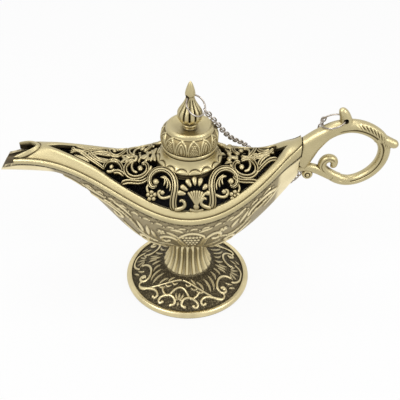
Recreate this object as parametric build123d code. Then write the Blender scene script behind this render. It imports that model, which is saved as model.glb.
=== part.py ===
from build123d import *
import os
from math import ceil, cos, exp, radians, sin

# Genie oil lamp, in millimetres. Z is the foot's axis, the spout points to -X and the handle to +X.

# Rim line, shared by bowl and cover
SPOUT_REACH = 93.5
LIP_REACH = 103.5
LIP_SLANT = 4.0
STERN_REACH = 59.4
BOWL_HALF_WIDTH = 31.3
SPOUT_HALF_WIDTH = 6.9
SPOUT_SPREAD = 49.5
STERN_SPREAD = 62.5
WAIST_HEIGHT = 69.5
SPOUT_RISE = 20.1
SPOUT_CREST = 84.0
STERN_RISE = 33.5
STERN_POWER = 2.1
BEAD_HEIGHT = 3.5
STERN_BEAD_GROWTH = 11.0
BEAD_BULGE = 1.2
SEAM_GAP = 0.3
STATION_COUNT = 18

# Bowl
KEEL_HEIGHT = 29.0
SPOUT_KEEL_HEIGHT = 77.5
SPOUT_KEEL_START = 16.0
SPOUT_KEEL_END = 75.0
STERN_KEEL_HEIGHT = 78.0
STERN_KEEL_START = 12.0
STERN_KEEL_POWER = 1.7
BILGE_OUT = 0.74
BILGE_UP = 0.5
BOWL_WALL = 2.2
KEEL_THICKENING = 1.5
STERN_SOLID = 22.0
BOSS_RADIUS = 9.5
BOSS_HEIGHT = 7.0

# Cover: rim frame and hood of the spout
BAND_WIDTH = 5.6
BAND_SHOULDER = 3.0
SHOULDER_SHARE = 0.4
BAND_RISE = 2.3
CROWN_SHARE = 0.13
COVER_WALL = 2.0
OPENING_FRONT = 76.0
OPENING_REAR = 52.5
OPENING_POINTS = 11
MOUTH_DEPTH = 9.3
MOUTH_WIDTH = 13.6

# Openwork: pierced dome between the rim frame and the collar
DOME_EDGE_RISE = 2.0
DOME_SKIRT = 1.6
MOUND_HEIGHT = 21.0
MOUND_SPREAD = 29.0
DOME_SHOULDER_OUT = 0.68
DOME_SHOULDER_UP = 0.73
OPENWORK_WALL = 1.7
RIDGE_RISE = 0.7
RIDGE_INSET = 0.75
BORDER_WIDTH = 1.4

# Scroll pattern of the near half, as (u, v) on a plane that leans back by SKETCH_TILT
SKETCH_TILT = 38.0
SKETCH_HEIGHT = 80.0
SCROLL_WIDTH = 3.0
LEAF_WIDTH = 2.3
EYE_RADIUS = 2.2
BIG_SCROLL = [
    (-16.4, -8.4), (-17.8, -5.2), (-13.6, -2.8), (-8.6, -5.2), (-7.2, -11.0), (-7.2, -17.0), (-6.2, -22.0),
]
BIG_HOOK = [(-6.2, -21.0), (-2.6, -19.8), (-3.2, -16.6)]
RIGHT_BIG_SCROLL = (5.6, 1.4)
RING_SCROLL = [(-24.8, -0.4), (-21.4, -0.8), (-23.8, -4.6), (-29.4, -5.0), (-33.2, -1.2), (-31.5, 3.6)]
RING_LEAF = [(-35.6, -9.8), (-28.5, -8.2), (-21.2, -6.4), (-19.0, -8.6)]
RIGHT_RING_SCROLL = (2.4, 2.2)
FLOWER_RADIUS = 1.7
FLOWERS = [(-19.2, -14.8), (24.6, -9.6)]
PALMETTE = (4.6, -19.8)
PALMETTE_RADIUS = 4.6
PALMETTE_SPREAD = 84.0
PALMETTE_RAYS = 7
LEAVES = [
    [(-66.0, 8.6), (-56.0, 4.8), (-44.0, -2.6)],
    [(-54.0, 9.0), (-47.0, 3.4), (-40.0, 2.4), (-34.5, -3.0)],
    [(-36.0, 6.5), (-31.5, 3.6), (-24.0, 6.4), (-18.5, 4.4)],
    [(36.0, -1.6), (41.0, 3.4), (47.5, 7.0)],
    [(21.0, 4.6), (27.0, 7.2), (34.5, 5.2), (42.0, 9.6)],
]

# Collar
COLLAR_SEAT = 88.0
COLLAR_TOP = 95.4
COLLAR_FLANGE_RADIUS = 17.6
COLLAR_LIP = 1.6
COLLAR_TOP_RADIUS = 14.6
COLLAR_WAIST_RADIUS = 15.0
COLLAR_SPIGOT_RADIUS = 15.6
COLLAR_SPIGOT_DEPTH = 4.0
COLLAR_BORE_RADIUS = 12.6
COLLAR_SCALLOPS = 16
SCALLOP_RADIUS = 1.5

# Lid
LID_GAP = 0.3
LID_RADIUS = 14.6
LID_RING_HEIGHT = 2.2
LID_BULGE_RADIUS = 15.3
LID_PLATE_RADIUS = 11.6
LID_TOP = 109.2
LID_WALL = 1.8
PLUG_DEPTH = 5.0
PLUG_CLEARANCE = 0.4
PLUG_WALL = 1.4

# Finial and its nut
FINIAL_TIP = 134.9
FINIAL_FOOT_RADIUS = 4.4
FINIAL_FOOT_HEIGHT = 1.3
FINIAL_STEP = 0.8
BULB_RADIUS = 6.8
FINIAL_NECK_RADIUS = 2.4
FINIAL_RIBS = 12
FINIAL_RIB_DEPTH = 0.16
BULB_SHAPE = [(0.0, 0.68), (0.15, 0.92), (0.36, 1.0), (0.58, 0.9), (0.8, 0.66), (1.0, 0.46)]
CROSS_HOLE_HEIGHT = 126.2
CROSS_HOLE_RADIUS = 1.2
CROSS_HOLE_TURN = 50.0
STUD_RADIUS = 1.5
STUD_LENGTH = 5.2
NUT_RADIUS = 3.2
NUT_HEIGHT = 2.4

# Foot with its screw and washer
FOOT_RADIUS = 37.25
FOOT_RIM_HEIGHT = 3.8
FOOT_RIM_WIDTH = 3.4
FOOT_EDGE = 0.4
FOOT_WALL = 2.2
STEM_FOOT_RADIUS = 13.0
STEM_FOOT_HEIGHT = 12.5
STEM_NECK_RADIUS = 9.9
STEM_FLUTES = 20
STEM_FLUTE_DEPTH = 0.12
STEM_SHAPE = [(-0.04, 1.47), (0.2, 1.25), (0.45, 1.11), (0.72, 1.03), (1.0, 1.0)]
STEM_PLATE = 3.0
SLOPE_KNEE_IN = 0.45
SLOPE_KNEE_UP = 0.42

# Raised scrolls on the foot's slope, as (degrees, radius) from one shell to the next, mirrored round the foot
FOOT_RELIEF = 0.6
FOOT_RELIEF_TURN = -99.0
FOOT_SCROLL_WIDTH = 1.5
FOOT_SCROLLS = [
    [(0.0, 21.2), (5.5, 21.9), (10.0, 24.0), (13.0, 26.8)],
    [
        (7.4, 31.6), (4.4, 30.4), (4.8, 28.6), (9.0, 26.9),
        (15.0, 27.0), (20.0, 28.6), (22.2, 30.8), (20.0, 32.4),
    ],
    [(50.0, 32.2), (44.0, 30.2), (38.0, 28.4), (31.0, 27.8), (26.8, 29.2), (27.6, 31.6)],
    [(80.0, 27.4), (77.0, 24.2), (68.0, 22.6), (58.0, 23.8), (53.6, 26.6), (55.0, 29.6), (60.6, 30.0)],
    [(76.0, 29.6), (81.0, 32.2), (90.0, 33.0)],
    [(38.0, 27.0), (31.0, 23.6), (22.0, 20.4), (12.0, 18.0), (3.0, 17.0)],
]
SCREW_RADIUS = 2.0
SCREW_REACH = 5.0
SCREW_HEAD_RADIUS = 3.8
SCREW_HEAD_HEIGHT = 2.6
SLOT_WIDTH = 1.0
WASHER_RADIUS = 5.0
WASHER_HEIGHT = 1.0
HOLE_CLEARANCE = 0.1

# Handle, in its own upright plane as (x, z); sizes as (share of the line, half width, half height)
STERN_CLEARANCE = 1.1
STERN_STEP = 6.0
HANDLE_LINE = [(57.0, 90.0), (67.0, 101.6), (74.5, 108.0), (84.5, 111.0), (95.5, 108.2), (103.0, 101.0),
               (104.0, 92.0), (98.8, 81.8), (88.6, 76.0), (78.6, 78.4)]
HANDLE_SIZES = [(0.0, 4.6, 9.5), (0.12, 4.6, 5.8), (0.22, 4.2, 4.2), (0.35, 3.8, 3.7), (0.64, 3.4, 3.3),
                (0.91, 3.0, 2.8), (1.0, 2.9, 2.7)]
RETURN_LINE = [(88.6, 76.0), (78.6, 78.4), (68.6, 83.0), (56.0, 83.4)]
RETURN_RADII = (2.8, 2.5)
HANDLE_STATIONS = 20
BRANCH_STATIONS = 8
BALL_SHARE = 1.2
SCROLL_LINE = [
    (81.5, 77.8), (74.0, 82.4), (71.4, 87.2), (74.6, 91.4), (79.0, 89.6), (78.4, 85.8), (75.6, 87.0),
]
SCROLL_RADII = (2.5, 1.5)
CURL_LINE = [(85.5, 110.5), (82.4, 115.4), (80.2, 120.0), (76.4, 120.6)]
CURL_RADII = (3.2, 1.5)
CURL_HOLE = (80.9, 115.2)
CURL_HOLE_RADIUS = 1.3
SPUR_LINE = [(101.0, 103.0), (106.5, 101.5), (110.6, 100.9)]
SPUR_RADII = (3.0, 0.7)
TAIL_CENTRE = (64.9, 79.8)
TAIL_RADIUS = 2.9
TAIL_HALF_WIDTH = 2.4

# Rings and chain
RING_WIRE = 0.45
FINIAL_RING_RADIUS = 5.8
FINIAL_RING_DROP = 46.0
FINIAL_RING_GRIP = 40.0
HANDLE_RING_RADIUS = 6.5
HANDLE_RING_DROP = 17.0
HANDLE_RING_GRIP = 50.0
LINK_WIRE = 0.38
LINK_INSIDE = 3.2
LINK_INNER_WIDTH = 1.6
LINK_SLACK = 0.3
UPPER_LINKS = 18
CHAIN_ROUTE = [
    (14.9, 3.5, 107.2), (19.6, 9.0, 97.9), (24.4, 14.5, 90.8), (29.3, 20.2, 85.2), (33.4, 25.4, 79.0),
    (38.0, 26.0, 71.5), (45.0, 22.5, 66.0), (52.0, 16.5, 63.5), (57.4, 11.5, 63.6), (63.6, 9.2, 73.8),
               (67.4, 8.4, 86.3), (68.8, 8.6, 97.0), (70.0, 7.4, 106.0)]

SCREW_TOP = KEEL_HEIGHT + SCREW_REACH
LID_SEAT = COLLAR_TOP + LID_GAP
FAR = 4 * LIP_REACH


def ramp(x, start, end):
    """Smooth step from 0 at start to 1 at end."""
    share = min(max((x - start) / (end - start), 0.0), 1.0)
    return sin(radians(90 * share)) ** 2


def half_width(x):
    """Half width of the rim: a bell curve towards the spout, a cosine towards the stern."""
    if x < 0:
        bell = exp(-((x / SPOUT_SPREAD) ** 2))
        return SPOUT_HALF_WIDTH + (BOWL_HALF_WIDTH - SPOUT_HALF_WIDTH) * bell
    return BOWL_HALF_WIDTH * cos(radians(90 * x / STERN_SPREAD))


def groove_height(x):
    """Height of the groove that runs round the rim."""
    if x < 0:
        return WAIST_HEIGHT + SPOUT_RISE * sin(radians(90 * x / SPOUT_CREST)) ** 2
    return WAIST_HEIGHT + STERN_RISE * (x / STERN_REACH) ** STERN_POWER


def seam_height(x):
    """Height of the seam between bowl and cover, under the bead."""
    growth = STERN_BEAD_GROWTH * max(x / STERN_REACH, 0.0) ** 4
    return groove_height(x) - BEAD_HEIGHT - growth


def keel_height(x):
    """Height of the bowl's underside in its middle plane."""
    if x < 0:
        rise = ramp(-x, SPOUT_KEEL_START, SPOUT_KEEL_END)
        return KEEL_HEIGHT + (SPOUT_KEEL_HEIGHT - KEEL_HEIGHT) * rise
    run = max(x - STERN_KEEL_START, 0.0) / (STERN_REACH - STERN_KEEL_START)
    return KEEL_HEIGHT + (STERN_KEEL_HEIGHT - KEEL_HEIGHT) * run**STERN_KEEL_POWER


def opening_half_width(x):
    """Half width of the cover's opening: the rim less the band, nothing at both ends."""
    if x < 0:
        growth = half_width(-OPENING_FRONT) - BAND_WIDTH
        return half_width(x) - BAND_WIDTH - growth * ramp(-x, BAND_WIDTH, OPENING_FRONT)
    growth = half_width(OPENING_REAR) - BAND_WIDTH
    return half_width(x) - BAND_WIDTH - growth * (x / OPENING_REAR) ** 2


def steps(start, end, count):
    """Evenly spaced values from start to end."""
    return [start + (end - start) * i / (count - 1) for i in range(count)]


def rod(radius, low, high):
    """Upright round rod on the lamp's axis between two heights."""
    return Pos(0, 0, low) * Cylinder(radius, high - low, align=(Align.CENTER, Align.CENTER, Align.MIN))


def upright(face):
    """Tall column over a plan face."""
    return extrude(face, amount=FAR, dir=(0, 0, 1))


def across(x, *edges):
    """Face across the lamp at x, from edges drawn as (y, z)."""
    plane = Plane(origin=(x, 0, 0), x_dir=(0, 1, 0), z_dir=(1, 0, 0))
    wire = Wire([edge for group in edges for edge in group.edges()])
    return plane * Face(wire)


def turned(*edges):
    """Solid of revolution about the lamp's axis, from edges drawn as (radius, z)."""
    wire = Wire([edge for group in edges for edge in group.edges()])
    return revolve(Plane.XZ * Face(wire), Axis.Z)


def fluted(shape, radius, low, high, count, depth):
    """Fluted column: star sections, listed as (share of the height, share of the radius)."""
    sections = []
    for up, out in shape:
        corners = []
        for i in range(2 * count):
            reach = radius * out * (1 - depth * (i % 2))
            turn = radians(180 * i / count)
            corners.append((reach * cos(turn), reach * sin(turn)))
        sections.append(Pos(0, 0, low + (high - low) * up) * Polygon(*corners, align=None))
    return loft(sections, ruled=True)


def hull_face(x, inset=0.0, raised=0.0):
    """Cross-section of the bowl at x, inset from its outside."""
    width = half_width(x) - inset
    top = seam_height(x) + raised
    keel = keel_height(x) + KEEL_THICKENING * inset
    bilge = keel + (top - inset - keel) * BILGE_UP
    side = width * BILGE_OUT
    curve = Spline((-width, top), (-side, bilge), (0, keel), (side, bilge), (width, top))
    return across(x, curve, Line((width, top), (-width, top)))


def hull(front, rear, inset=0.0, raised=0.0):
    """Solid within the bowl's outside, or inset from it."""
    return loft([hull_face(x, inset, raised) for x in steps(front, rear, STATION_COUNT)])


def lip_wedge():
    """Wedge that is cut off the lip, so that it leans forward at the bottom."""
    low = keel_height(-LIP_REACH)
    high = seam_height(LIP_SLANT - LIP_REACH) + BEAD_HEIGHT
    tip = (-LIP_REACH, low)
    side = Polygon(tip, (LIP_SLANT - LIP_REACH, high), (-LIP_REACH - LIP_SLANT, high), align=None)
    return extrude(Plane.XZ * side, amount=2 * SPOUT_HALF_WIDTH, both=True)


def make_bowl(outside):
    """Lower shell, open at the spout's lip, with a boss for the foot's screw."""
    inside = hull(-LIP_REACH - BOWL_WALL, STERN_REACH - STERN_SOLID, BOWL_WALL, BEAD_HEIGHT)
    boss = rod(BOSS_RADIUS, KEEL_HEIGHT, KEEL_HEIGHT + BOSS_HEIGHT)
    below = rod(FOOT_RADIUS, 0, KEEL_HEIGHT)
    hole = rod(SCREW_RADIUS + HOLE_CLEARANCE, KEEL_HEIGHT, SCREW_TOP + HOLE_CLEARANCE)
    return outside - inside + boss - below - hole - lip_wedge()


def cover_face(x):
    """Cross-section of the cover at x: bead, groove and the arched band above it."""
    width = half_width(x)
    low = seam_height(x) + SEAM_GAP
    high = groove_height(x)
    middle = (low + high) / 2
    shoulder = width - min(BAND_SHOULDER, width * SHOULDER_SHARE)
    level = high + BAND_RISE
    crown = level + CROWN_SHARE * width
    arch = Spline((width, high), (shoulder, level), (0, crown), (-shoulder, level), (-width, high))
    right = ThreePointArc((width, low), (width + BEAD_BULGE, middle), (width, high))
    left = ThreePointArc((-width, high), (-width - BEAD_BULGE, middle), (-width, low))
    return across(x, Line((-width, low), (width, low)), right, arch, left)


def cover_hollow_face(x):
    """Cross-section of the hollow inside the cover at x."""
    width = half_width(x) - COVER_WALL
    low = seam_height(x) - BEAD_HEIGHT
    high = groove_height(x)
    crown = high + BAND_RISE + CROWN_SHARE * width - COVER_WALL
    arch = ThreePointArc((width, high), (0, crown), (-width, high))
    return across(x, arch, Polyline((-width, high), (-width, low), (width, low), (width, high)))


def opening_face(inset=0.0):
    """Plan of the cover's opening."""
    front = -OPENING_FRONT + 2 * inset
    rear = OPENING_REAR - 2 * inset
    inner = steps(front, rear, OPENING_POINTS)[1:-1]
    near = [(x, inset - opening_half_width(x)) for x in inner]
    far = [(x, -y) for x, y in reversed(near)]
    near_edge = Spline((front, 0), *near, (rear, 0))
    far_edge = Spline((rear, 0), *far, (front, 0))
    return Face(Wire([near_edge, far_edge]))


def make_cover():
    """Rim frame with the hood of the spout."""
    frame = loft([cover_face(x) for x in steps(-SPOUT_REACH, STERN_REACH, STATION_COUNT)])
    front = -SPOUT_REACH - COVER_WALL
    rear = STERN_REACH - 4 * COVER_WALL
    hollow = loft([cover_hollow_face(x) for x in steps(front, rear, STATION_COUNT)])
    mouth = Pos(-SPOUT_REACH, 0, 0) * Ellipse(MOUTH_DEPTH, MOUTH_WIDTH / 2)
    return frame - hollow - upright(opening_face()) - upright(mouth.face())


def dome_face(x, inset):
    """Cross-section under the openwork's dome at x."""
    width = max(opening_half_width(x), 0) + BORDER_WIDTH - inset
    edge = groove_height(x) + DOME_EDGE_RISE - inset
    mound = MOUND_HEIGHT * exp(-((x / MOUND_SPREAD) ** 2))
    side = width * DOME_SHOULDER_OUT
    level = edge + BAND_RISE / 2 + mound * DOME_SHOULDER_UP
    crown = edge + BAND_RISE / 2 + mound
    low = edge - DOME_SKIRT
    arch = Spline((width, edge), (side, level), (0, crown), (-side, level), (-width, edge))
    return across(x, arch, Polyline((-width, edge), (-width, low), (width, low), (width, edge)))


def dome(inset=0.0):
    """Solid under the openwork's dome."""
    return loft([dome_face(x, inset) for x in steps(-OPENING_FRONT, OPENING_REAR, STATION_COUNT)])


def band(points, width):
    """Flat band along a smooth line, with round ends."""
    caps = [Pos(*point) * Circle(width / 2) for point in (points[0], points[-1])]
    return trace(Spline(*points), width) + caps


def eyed_band(points, inset):
    """Flat band that begins in a round eye."""
    return band(points, SCROLL_WIDTH - 2 * inset) + Pos(*points[0]) * Circle(EYE_RADIUS - inset)


def flower():
    """Five round petals about an eye."""
    petals = PolarLocations(FLOWER_RADIUS, 5, start_angle=90) * Circle(FLOWER_RADIUS * 0.72)
    return Circle(FLOWER_RADIUS) + petals


def palmette():
    """Scallop shell on a stalk, with rays round its upper edge."""
    centre = Pos(0, PALMETTE_RADIUS)
    ray = Pos(PALMETTE_RADIUS * 1.45, 0) * Ellipse(PALMETTE_RADIUS * 0.62, PALMETTE_RADIUS * 0.25)
    turns = steps(-PALMETTE_SPREAD, PALMETTE_SPREAD, PALMETTE_RAYS)
    rays = [centre * Rot(0, 0, 90 + turn) * ray for turn in turns]
    stalk = Pos(0, PALMETTE_RADIUS * -0.5) * Rectangle(PALMETTE_RADIUS * 0.7, PALMETTE_RADIUS * 1.5)
    return centre * Circle(PALMETTE_RADIUS) + rays + Circle(PALMETTE_RADIUS * 0.45) + stalk


def scroll_plan(inset=0.0):
    """Main scrolls of the near half."""
    big = eyed_band(BIG_SCROLL, inset) + band(BIG_HOOK, LEAF_WIDTH - 2 * inset)
    ring = eyed_band(RING_SCROLL, inset) + band(RING_LEAF, SCROLL_WIDTH - 2 * inset)
    right_big = Pos(*RIGHT_BIG_SCROLL) * mirror(big, Plane.YZ)
    right_ring = Pos(*RIGHT_RING_SCROLL) * mirror(ring, Plane.YZ)
    return big + ring + right_big + right_ring


def openwork_plan():
    """Whole pattern of the near half."""
    plan = Pos(*PALMETTE) * palmette() + scroll_plan()
    for place in FLOWERS:
        plan = plan + Pos(*place) * flower()
    for points in LEAVES:
        plan = plan + band(points, LEAF_WIDTH)
    return plan


def make_openwork():
    """Pierced dome: the near half's scrolls, mirrored to the far half, with a border and a collar ring."""
    column = upright(opening_face())
    collar_room = rod(COLLAR_FLANGE_RADIUS, COLLAR_SEAT, FAR) + rod(COLLAR_SPIGOT_RADIUS, 0, FAR)
    shell = (dome() - dome(OPENWORK_WALL)) & column
    shell = shell - collar_room
    tilt = radians(SKETCH_TILT)
    sketch = Plane(origin=(0, 0, SKETCH_HEIGHT), x_dir=(1, 0, 0), z_dir=(0, -cos(tilt), sin(tilt)))
    near_side = Box(FAR, FAR, FAR, align=(Align.CENTER, Align.MAX, Align.CENTER))
    pattern = extrude(sketch * openwork_plan(), amount=2 * BOWL_HALF_WIDTH, both=True)
    ridges = extrude(sketch * scroll_plan(RIDGE_INSET), amount=2 * BOWL_HALF_WIDTH, both=True)
    crest = (dome(-RIDGE_RISE) - dome(OPENWORK_WALL / 2)) & column
    near = (shell & near_side & pattern) + ((crest - collar_room) & near_side & ridges)
    border = shell & (column - upright(opening_face(BORDER_WIDTH)))
    ring = shell & rod(COLLAR_FLANGE_RADIUS + BORDER_WIDTH, 0, FAR)
    return near + mirror(near, Plane.XZ) + border + ring


def make_collar():
    """Scalloped ring that carries the lid."""
    foot = COLLAR_SEAT - COLLAR_SPIGOT_DEPTH
    lip = COLLAR_SEAT + COLLAR_LIP
    base = Polyline(
        (COLLAR_TOP_RADIUS, COLLAR_TOP),
        (COLLAR_BORE_RADIUS, COLLAR_TOP),
        (COLLAR_BORE_RADIUS, foot),
        (COLLAR_SPIGOT_RADIUS, foot),
        (COLLAR_SPIGOT_RADIUS, COLLAR_SEAT),
        (COLLAR_FLANGE_RADIUS, COLLAR_SEAT),
        (COLLAR_FLANGE_RADIUS, lip),
    )
    waist = (COLLAR_WAIST_RADIUS, (lip + COLLAR_TOP) / 2)
    cove = ThreePointArc((COLLAR_FLANGE_RADIUS, lip), waist, (COLLAR_TOP_RADIUS, COLLAR_TOP))
    nick = rod(SCALLOP_RADIUS, COLLAR_SEAT, COLLAR_TOP)
    nicks = PolarLocations(COLLAR_FLANGE_RADIUS + SCALLOP_RADIUS / 2, COLLAR_SCALLOPS) * nick
    return turned(base, cove) - nicks


def make_lid():
    """Hollow cap with a plug that drops into the collar."""
    plug = COLLAR_BORE_RADIUS - PLUG_CLEARANCE
    inner = plug - PLUG_WALL
    middle = (LID_SEAT + LID_TOP) / 2
    hole = STUD_RADIUS + HOLE_CLEARANCE
    outside = Spline(
        (LID_RADIUS, LID_SEAT + LID_RING_HEIGHT),
        (LID_BULGE_RADIUS, middle),
        (LID_PLATE_RADIUS + LID_WALL / 2, LID_TOP - LID_WALL),
        (LID_PLATE_RADIUS, LID_TOP),
    )
    inside = Polyline(
        (LID_PLATE_RADIUS, LID_TOP),
        (hole, LID_TOP),
        (hole, LID_TOP - LID_WALL),
        (LID_PLATE_RADIUS - LID_WALL, LID_TOP - LID_WALL),
        (inner, middle),
        (inner, LID_SEAT - PLUG_DEPTH),
        (plug, LID_SEAT - PLUG_DEPTH),
        (plug, LID_SEAT),
        (LID_RADIUS, LID_SEAT),
        (LID_RADIUS, LID_SEAT + LID_RING_HEIGHT),
    )
    return turned(outside, inside)


def make_finial():
    """Ribbed onion knob with a stud below and a cross hole near its tip."""
    foot_top = LID_TOP + FINIAL_FOOT_HEIGHT
    waist = (FINIAL_FOOT_RADIUS - FINIAL_STEP, foot_top + FINIAL_STEP)
    neck = (FINIAL_NECK_RADIUS, CROSS_HOLE_HEIGHT - 1.6 * CROSS_HOLE_RADIUS)
    stud = Polyline(
        (0, FINIAL_TIP),
        (0, LID_TOP - STUD_LENGTH),
        (STUD_RADIUS, LID_TOP - STUD_LENGTH),
        (STUD_RADIUS, LID_TOP),
        (FINIAL_FOOT_RADIUS, LID_TOP),
        (FINIAL_FOOT_RADIUS, foot_top),
        waist,
    )
    bulb = fluted(BULB_SHAPE, BULB_RADIUS, waist[1], neck[1], FINIAL_RIBS, FINIAL_RIB_DEPTH)
    shoulder = (FINIAL_NECK_RADIUS, CROSS_HOLE_HEIGHT + 2 * CROSS_HOLE_RADIUS)
    flame = (FINIAL_NECK_RADIUS * 0.6, (CROSS_HOLE_HEIGHT + FINIAL_TIP) / 2 + CROSS_HOLE_RADIUS)
    knob = turned(stud, Line(waist, neck), Spline(neck, shoulder, flame, (0, FINIAL_TIP)))
    drill = Pos(0, 0, CROSS_HOLE_HEIGHT) * Rot(0, 0, CROSS_HOLE_TURN) * Rot(0, 90, 0)
    hole = drill * Cylinder(CROSS_HOLE_RADIUS, 4 * BULB_RADIUS)
    return knob + bulb - hole


def make_finial_nut():
    """Hexagon nut on the finial's stud, inside the lid."""
    high = LID_TOP - LID_WALL
    blank = Pos(0, 0, high - NUT_HEIGHT) * extrude(RegularPolygon(NUT_RADIUS, 6), amount=NUT_HEIGHT)
    return blank - rod(STUD_RADIUS + HOLE_CLEARANCE, 0, high)


def foot_slope(rise=0.0):
    """Points of the foot's slope from the rim's groove to the stem, as (radius, z)."""
    rim = FOOT_RADIUS - FOOT_RIM_WIDTH
    knee_in = (rim - STEM_FOOT_RADIUS) * SLOPE_KNEE_IN
    knee_up = (STEM_FOOT_HEIGHT - FOOT_RIM_HEIGHT) * SLOPE_KNEE_UP
    return [
        (rim, FOOT_RIM_HEIGHT * 0.8 + rise),
        (rim - knee_in, FOOT_RIM_HEIGHT + knee_up + rise),
        (STEM_FOOT_RADIUS, STEM_FOOT_HEIGHT + rise),
    ]


def polar(place):
    """Point of a plan from degrees and radius."""
    turn, reach = place
    return (reach * cos(radians(turn)), reach * sin(radians(turn)))


def foot_relief():
    """Raised scrolls on the foot's slope, rooted in its wall."""
    top = foot_slope(FOOT_RELIEF)
    bottom = foot_slope(-FOOT_WALL / 2)
    skin = turned(Spline(*top), Line(top[-1], bottom[-1]), Spline(*reversed(bottom)), Line(bottom[0], top[0]))
    scrolls = []
    for line in FOOT_SCROLLS:
        scroll = band([polar(place) for place in line], FOOT_SCROLL_WIDTH)
        both = scroll + mirror(scroll, Plane.XZ)
        scrolls.append(both)
        scrolls.append(Rot(0, 0, 180) * both)
    plan = Rot(0, 0, FOOT_RELIEF_TURN) * (Sketch() + scrolls)
    return extrude(plan, amount=KEEL_HEIGHT) & skin


def make_foot():
    """Hollow pedestal with a rolled rim, raised scrolls on its slope and a fluted stem."""
    groove, knee, stem_foot = foot_slope()
    rim = groove[0]
    roll = Spline(
        (FOOT_RADIUS - FOOT_EDGE, 0),
        (FOOT_RADIUS, FOOT_RIM_HEIGHT * 0.5),
        (FOOT_RADIUS - FOOT_RIM_WIDTH * 0.5, FOOT_RIM_HEIGHT),
        groove,
    )
    bore = SCREW_RADIUS + HOLE_CLEARANCE
    ceiling = KEEL_HEIGHT - STEM_PLATE
    cave = WASHER_RADIUS + 2 * HOLE_CLEARANCE
    inside = Polyline(
        stem_foot,
        (cave, STEM_FOOT_HEIGHT),
        (STEM_FOOT_RADIUS - FOOT_WALL, STEM_FOOT_HEIGHT - 2 * FOOT_WALL),
        (knee[0], knee[1] - FOOT_WALL),
        (rim - FOOT_WALL, groove[1] - FOOT_WALL),
        (rim - FOOT_WALL, 0),
        (FOOT_RADIUS - FOOT_EDGE, 0),
    )
    stem = fluted(STEM_SHAPE, STEM_NECK_RADIUS, STEM_FOOT_HEIGHT, KEEL_HEIGHT, STEM_FLUTES, STEM_FLUTE_DEPTH)
    plate = turned(roll, Spline(groove, knee, stem_foot), inside)
    return plate + foot_relief() + (stem - rod(cave, 0, ceiling) - rod(bore, 0, KEEL_HEIGHT))


def make_foot_screw():
    """Slotted screw up through the stem's plate."""
    seat = KEEL_HEIGHT - STEM_PLATE - WASHER_HEIGHT
    head = rod(SCREW_HEAD_RADIUS, seat - SCREW_HEAD_HEIGHT, seat)
    slot = Pos(0, 0, seat - SCREW_HEAD_HEIGHT) * Box(3 * SCREW_HEAD_RADIUS, SLOT_WIDTH, SLOT_WIDTH)
    return head + rod(SCREW_RADIUS, seat, SCREW_TOP) - slot


def make_foot_washer():
    """Washer under the stem's plate."""
    top = KEEL_HEIGHT - STEM_PLATE
    return rod(WASHER_RADIUS, top - WASHER_HEIGHT, top) - rod(SCREW_RADIUS + HOLE_CLEARANCE, 0, top)


def in_plane(point):
    """Point of the handle's plane in the lamp's frame."""
    return Vector(point[0], 0, point[1])


def size_at(share, sizes):
    """Half width and half height at a share of the way along a list of sizes."""
    for (start, wide, tall), (end, next_wide, next_tall) in zip(sizes, sizes[1:]):
        if share <= end:
            part = (share - start) / (end - start)
            return wide + (next_wide - wide) * part, tall + (next_tall - tall) * part
    return sizes[-1][1:]


def bar(points, sizes, count):
    """Oval bar along a line in the handle's plane, its size following a list."""
    line = Spline(*[in_plane(point) for point in points])
    ovals = []
    for share in steps(0, 1, count):
        plane = Plane(origin=line @ share, x_dir=(0, 1, 0), z_dir=line % share)
        ovals.append(plane * Ellipse(*size_at(share, sizes)).face())
    return loft(ovals)


def branch(points, radii):
    """Round bar that thins from one radius to another and ends in a ball."""
    sizes = [(0.0, radii[0], radii[0]), (1.0, radii[1], radii[1])]
    ball = Pos(*in_plane(points[-1])) * Sphere(radii[1] * BALL_SHARE)
    return bar(points, sizes, BRANCH_STATIONS) + ball


def make_handle():
    """Scroll handle, seated on the flat end of the bowl's stern."""
    handle = bar(HANDLE_LINE, HANDLE_SIZES, HANDLE_STATIONS)
    branches = [
        (RETURN_LINE, RETURN_RADII),
        (SCROLL_LINE, SCROLL_RADII),
        (CURL_LINE, CURL_RADII),
        (SPUR_LINE, SPUR_RADII),
    ]
    for line, radii in branches:
        handle = handle + branch(line, radii)
    tail = Pos(*in_plane(TAIL_CENTRE)) * Rot(90, 0, 0) * Cylinder(TAIL_RADIUS, 2 * TAIL_HALF_WIDTH)
    hole = Pos(*in_plane(CURL_HOLE)) * Rot(90, 0, 0) * Cylinder(CURL_HOLE_RADIUS, 4 * CURL_RADII[0])
    behind = Box(FAR, FAR, FAR, align=(Align.MAX, Align.CENTER, Align.CENTER))
    above = Box(FAR, FAR, FAR, align=(Align.MAX, Align.CENTER, Align.MIN))
    cover_room = Pos(STERN_REACH + STERN_CLEARANCE, 0, seam_height(STERN_REACH - STERN_STEP)) * above
    return handle + tail - hole - Pos(STERN_REACH, 0, 0) * behind - cover_room


class WireRing:
    """Round wire ring that runs through a point along one direction and hangs towards another."""

    def __init__(self, through, along, towards, radius):
        self.along = Vector(*along)
        self.towards = Vector(*towards)
        self.radius = radius
        self.centre = through + self.towards * radius

    def solid(self):
        plane = Plane(origin=self.centre, z_dir=self.along.cross(self.towards))
        return plane * Torus(self.radius, RING_WIRE)

    def point(self, turn):
        """Middle of the wire, turned from the far side of the hole."""
        angle = radians(turn)
        return self.centre + (self.towards * cos(angle) + self.along * sin(angle)) * self.radius

    def heading(self, turn):
        """Direction of the wire at that point."""
        angle = radians(turn)
        return self.along * cos(angle) - self.towards * sin(angle)


def finial_ring():
    """Ring through the finial's cross hole."""
    turn = radians(CROSS_HOLE_TURN)
    drop = radians(FINIAL_RING_DROP)
    along = (cos(turn), sin(turn), 0)
    towards = (sin(turn) * cos(drop), -cos(turn) * cos(drop), -sin(drop))
    return WireRing(Vector(0, 0, CROSS_HOLE_HEIGHT), along, towards, FINIAL_RING_RADIUS)


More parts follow.
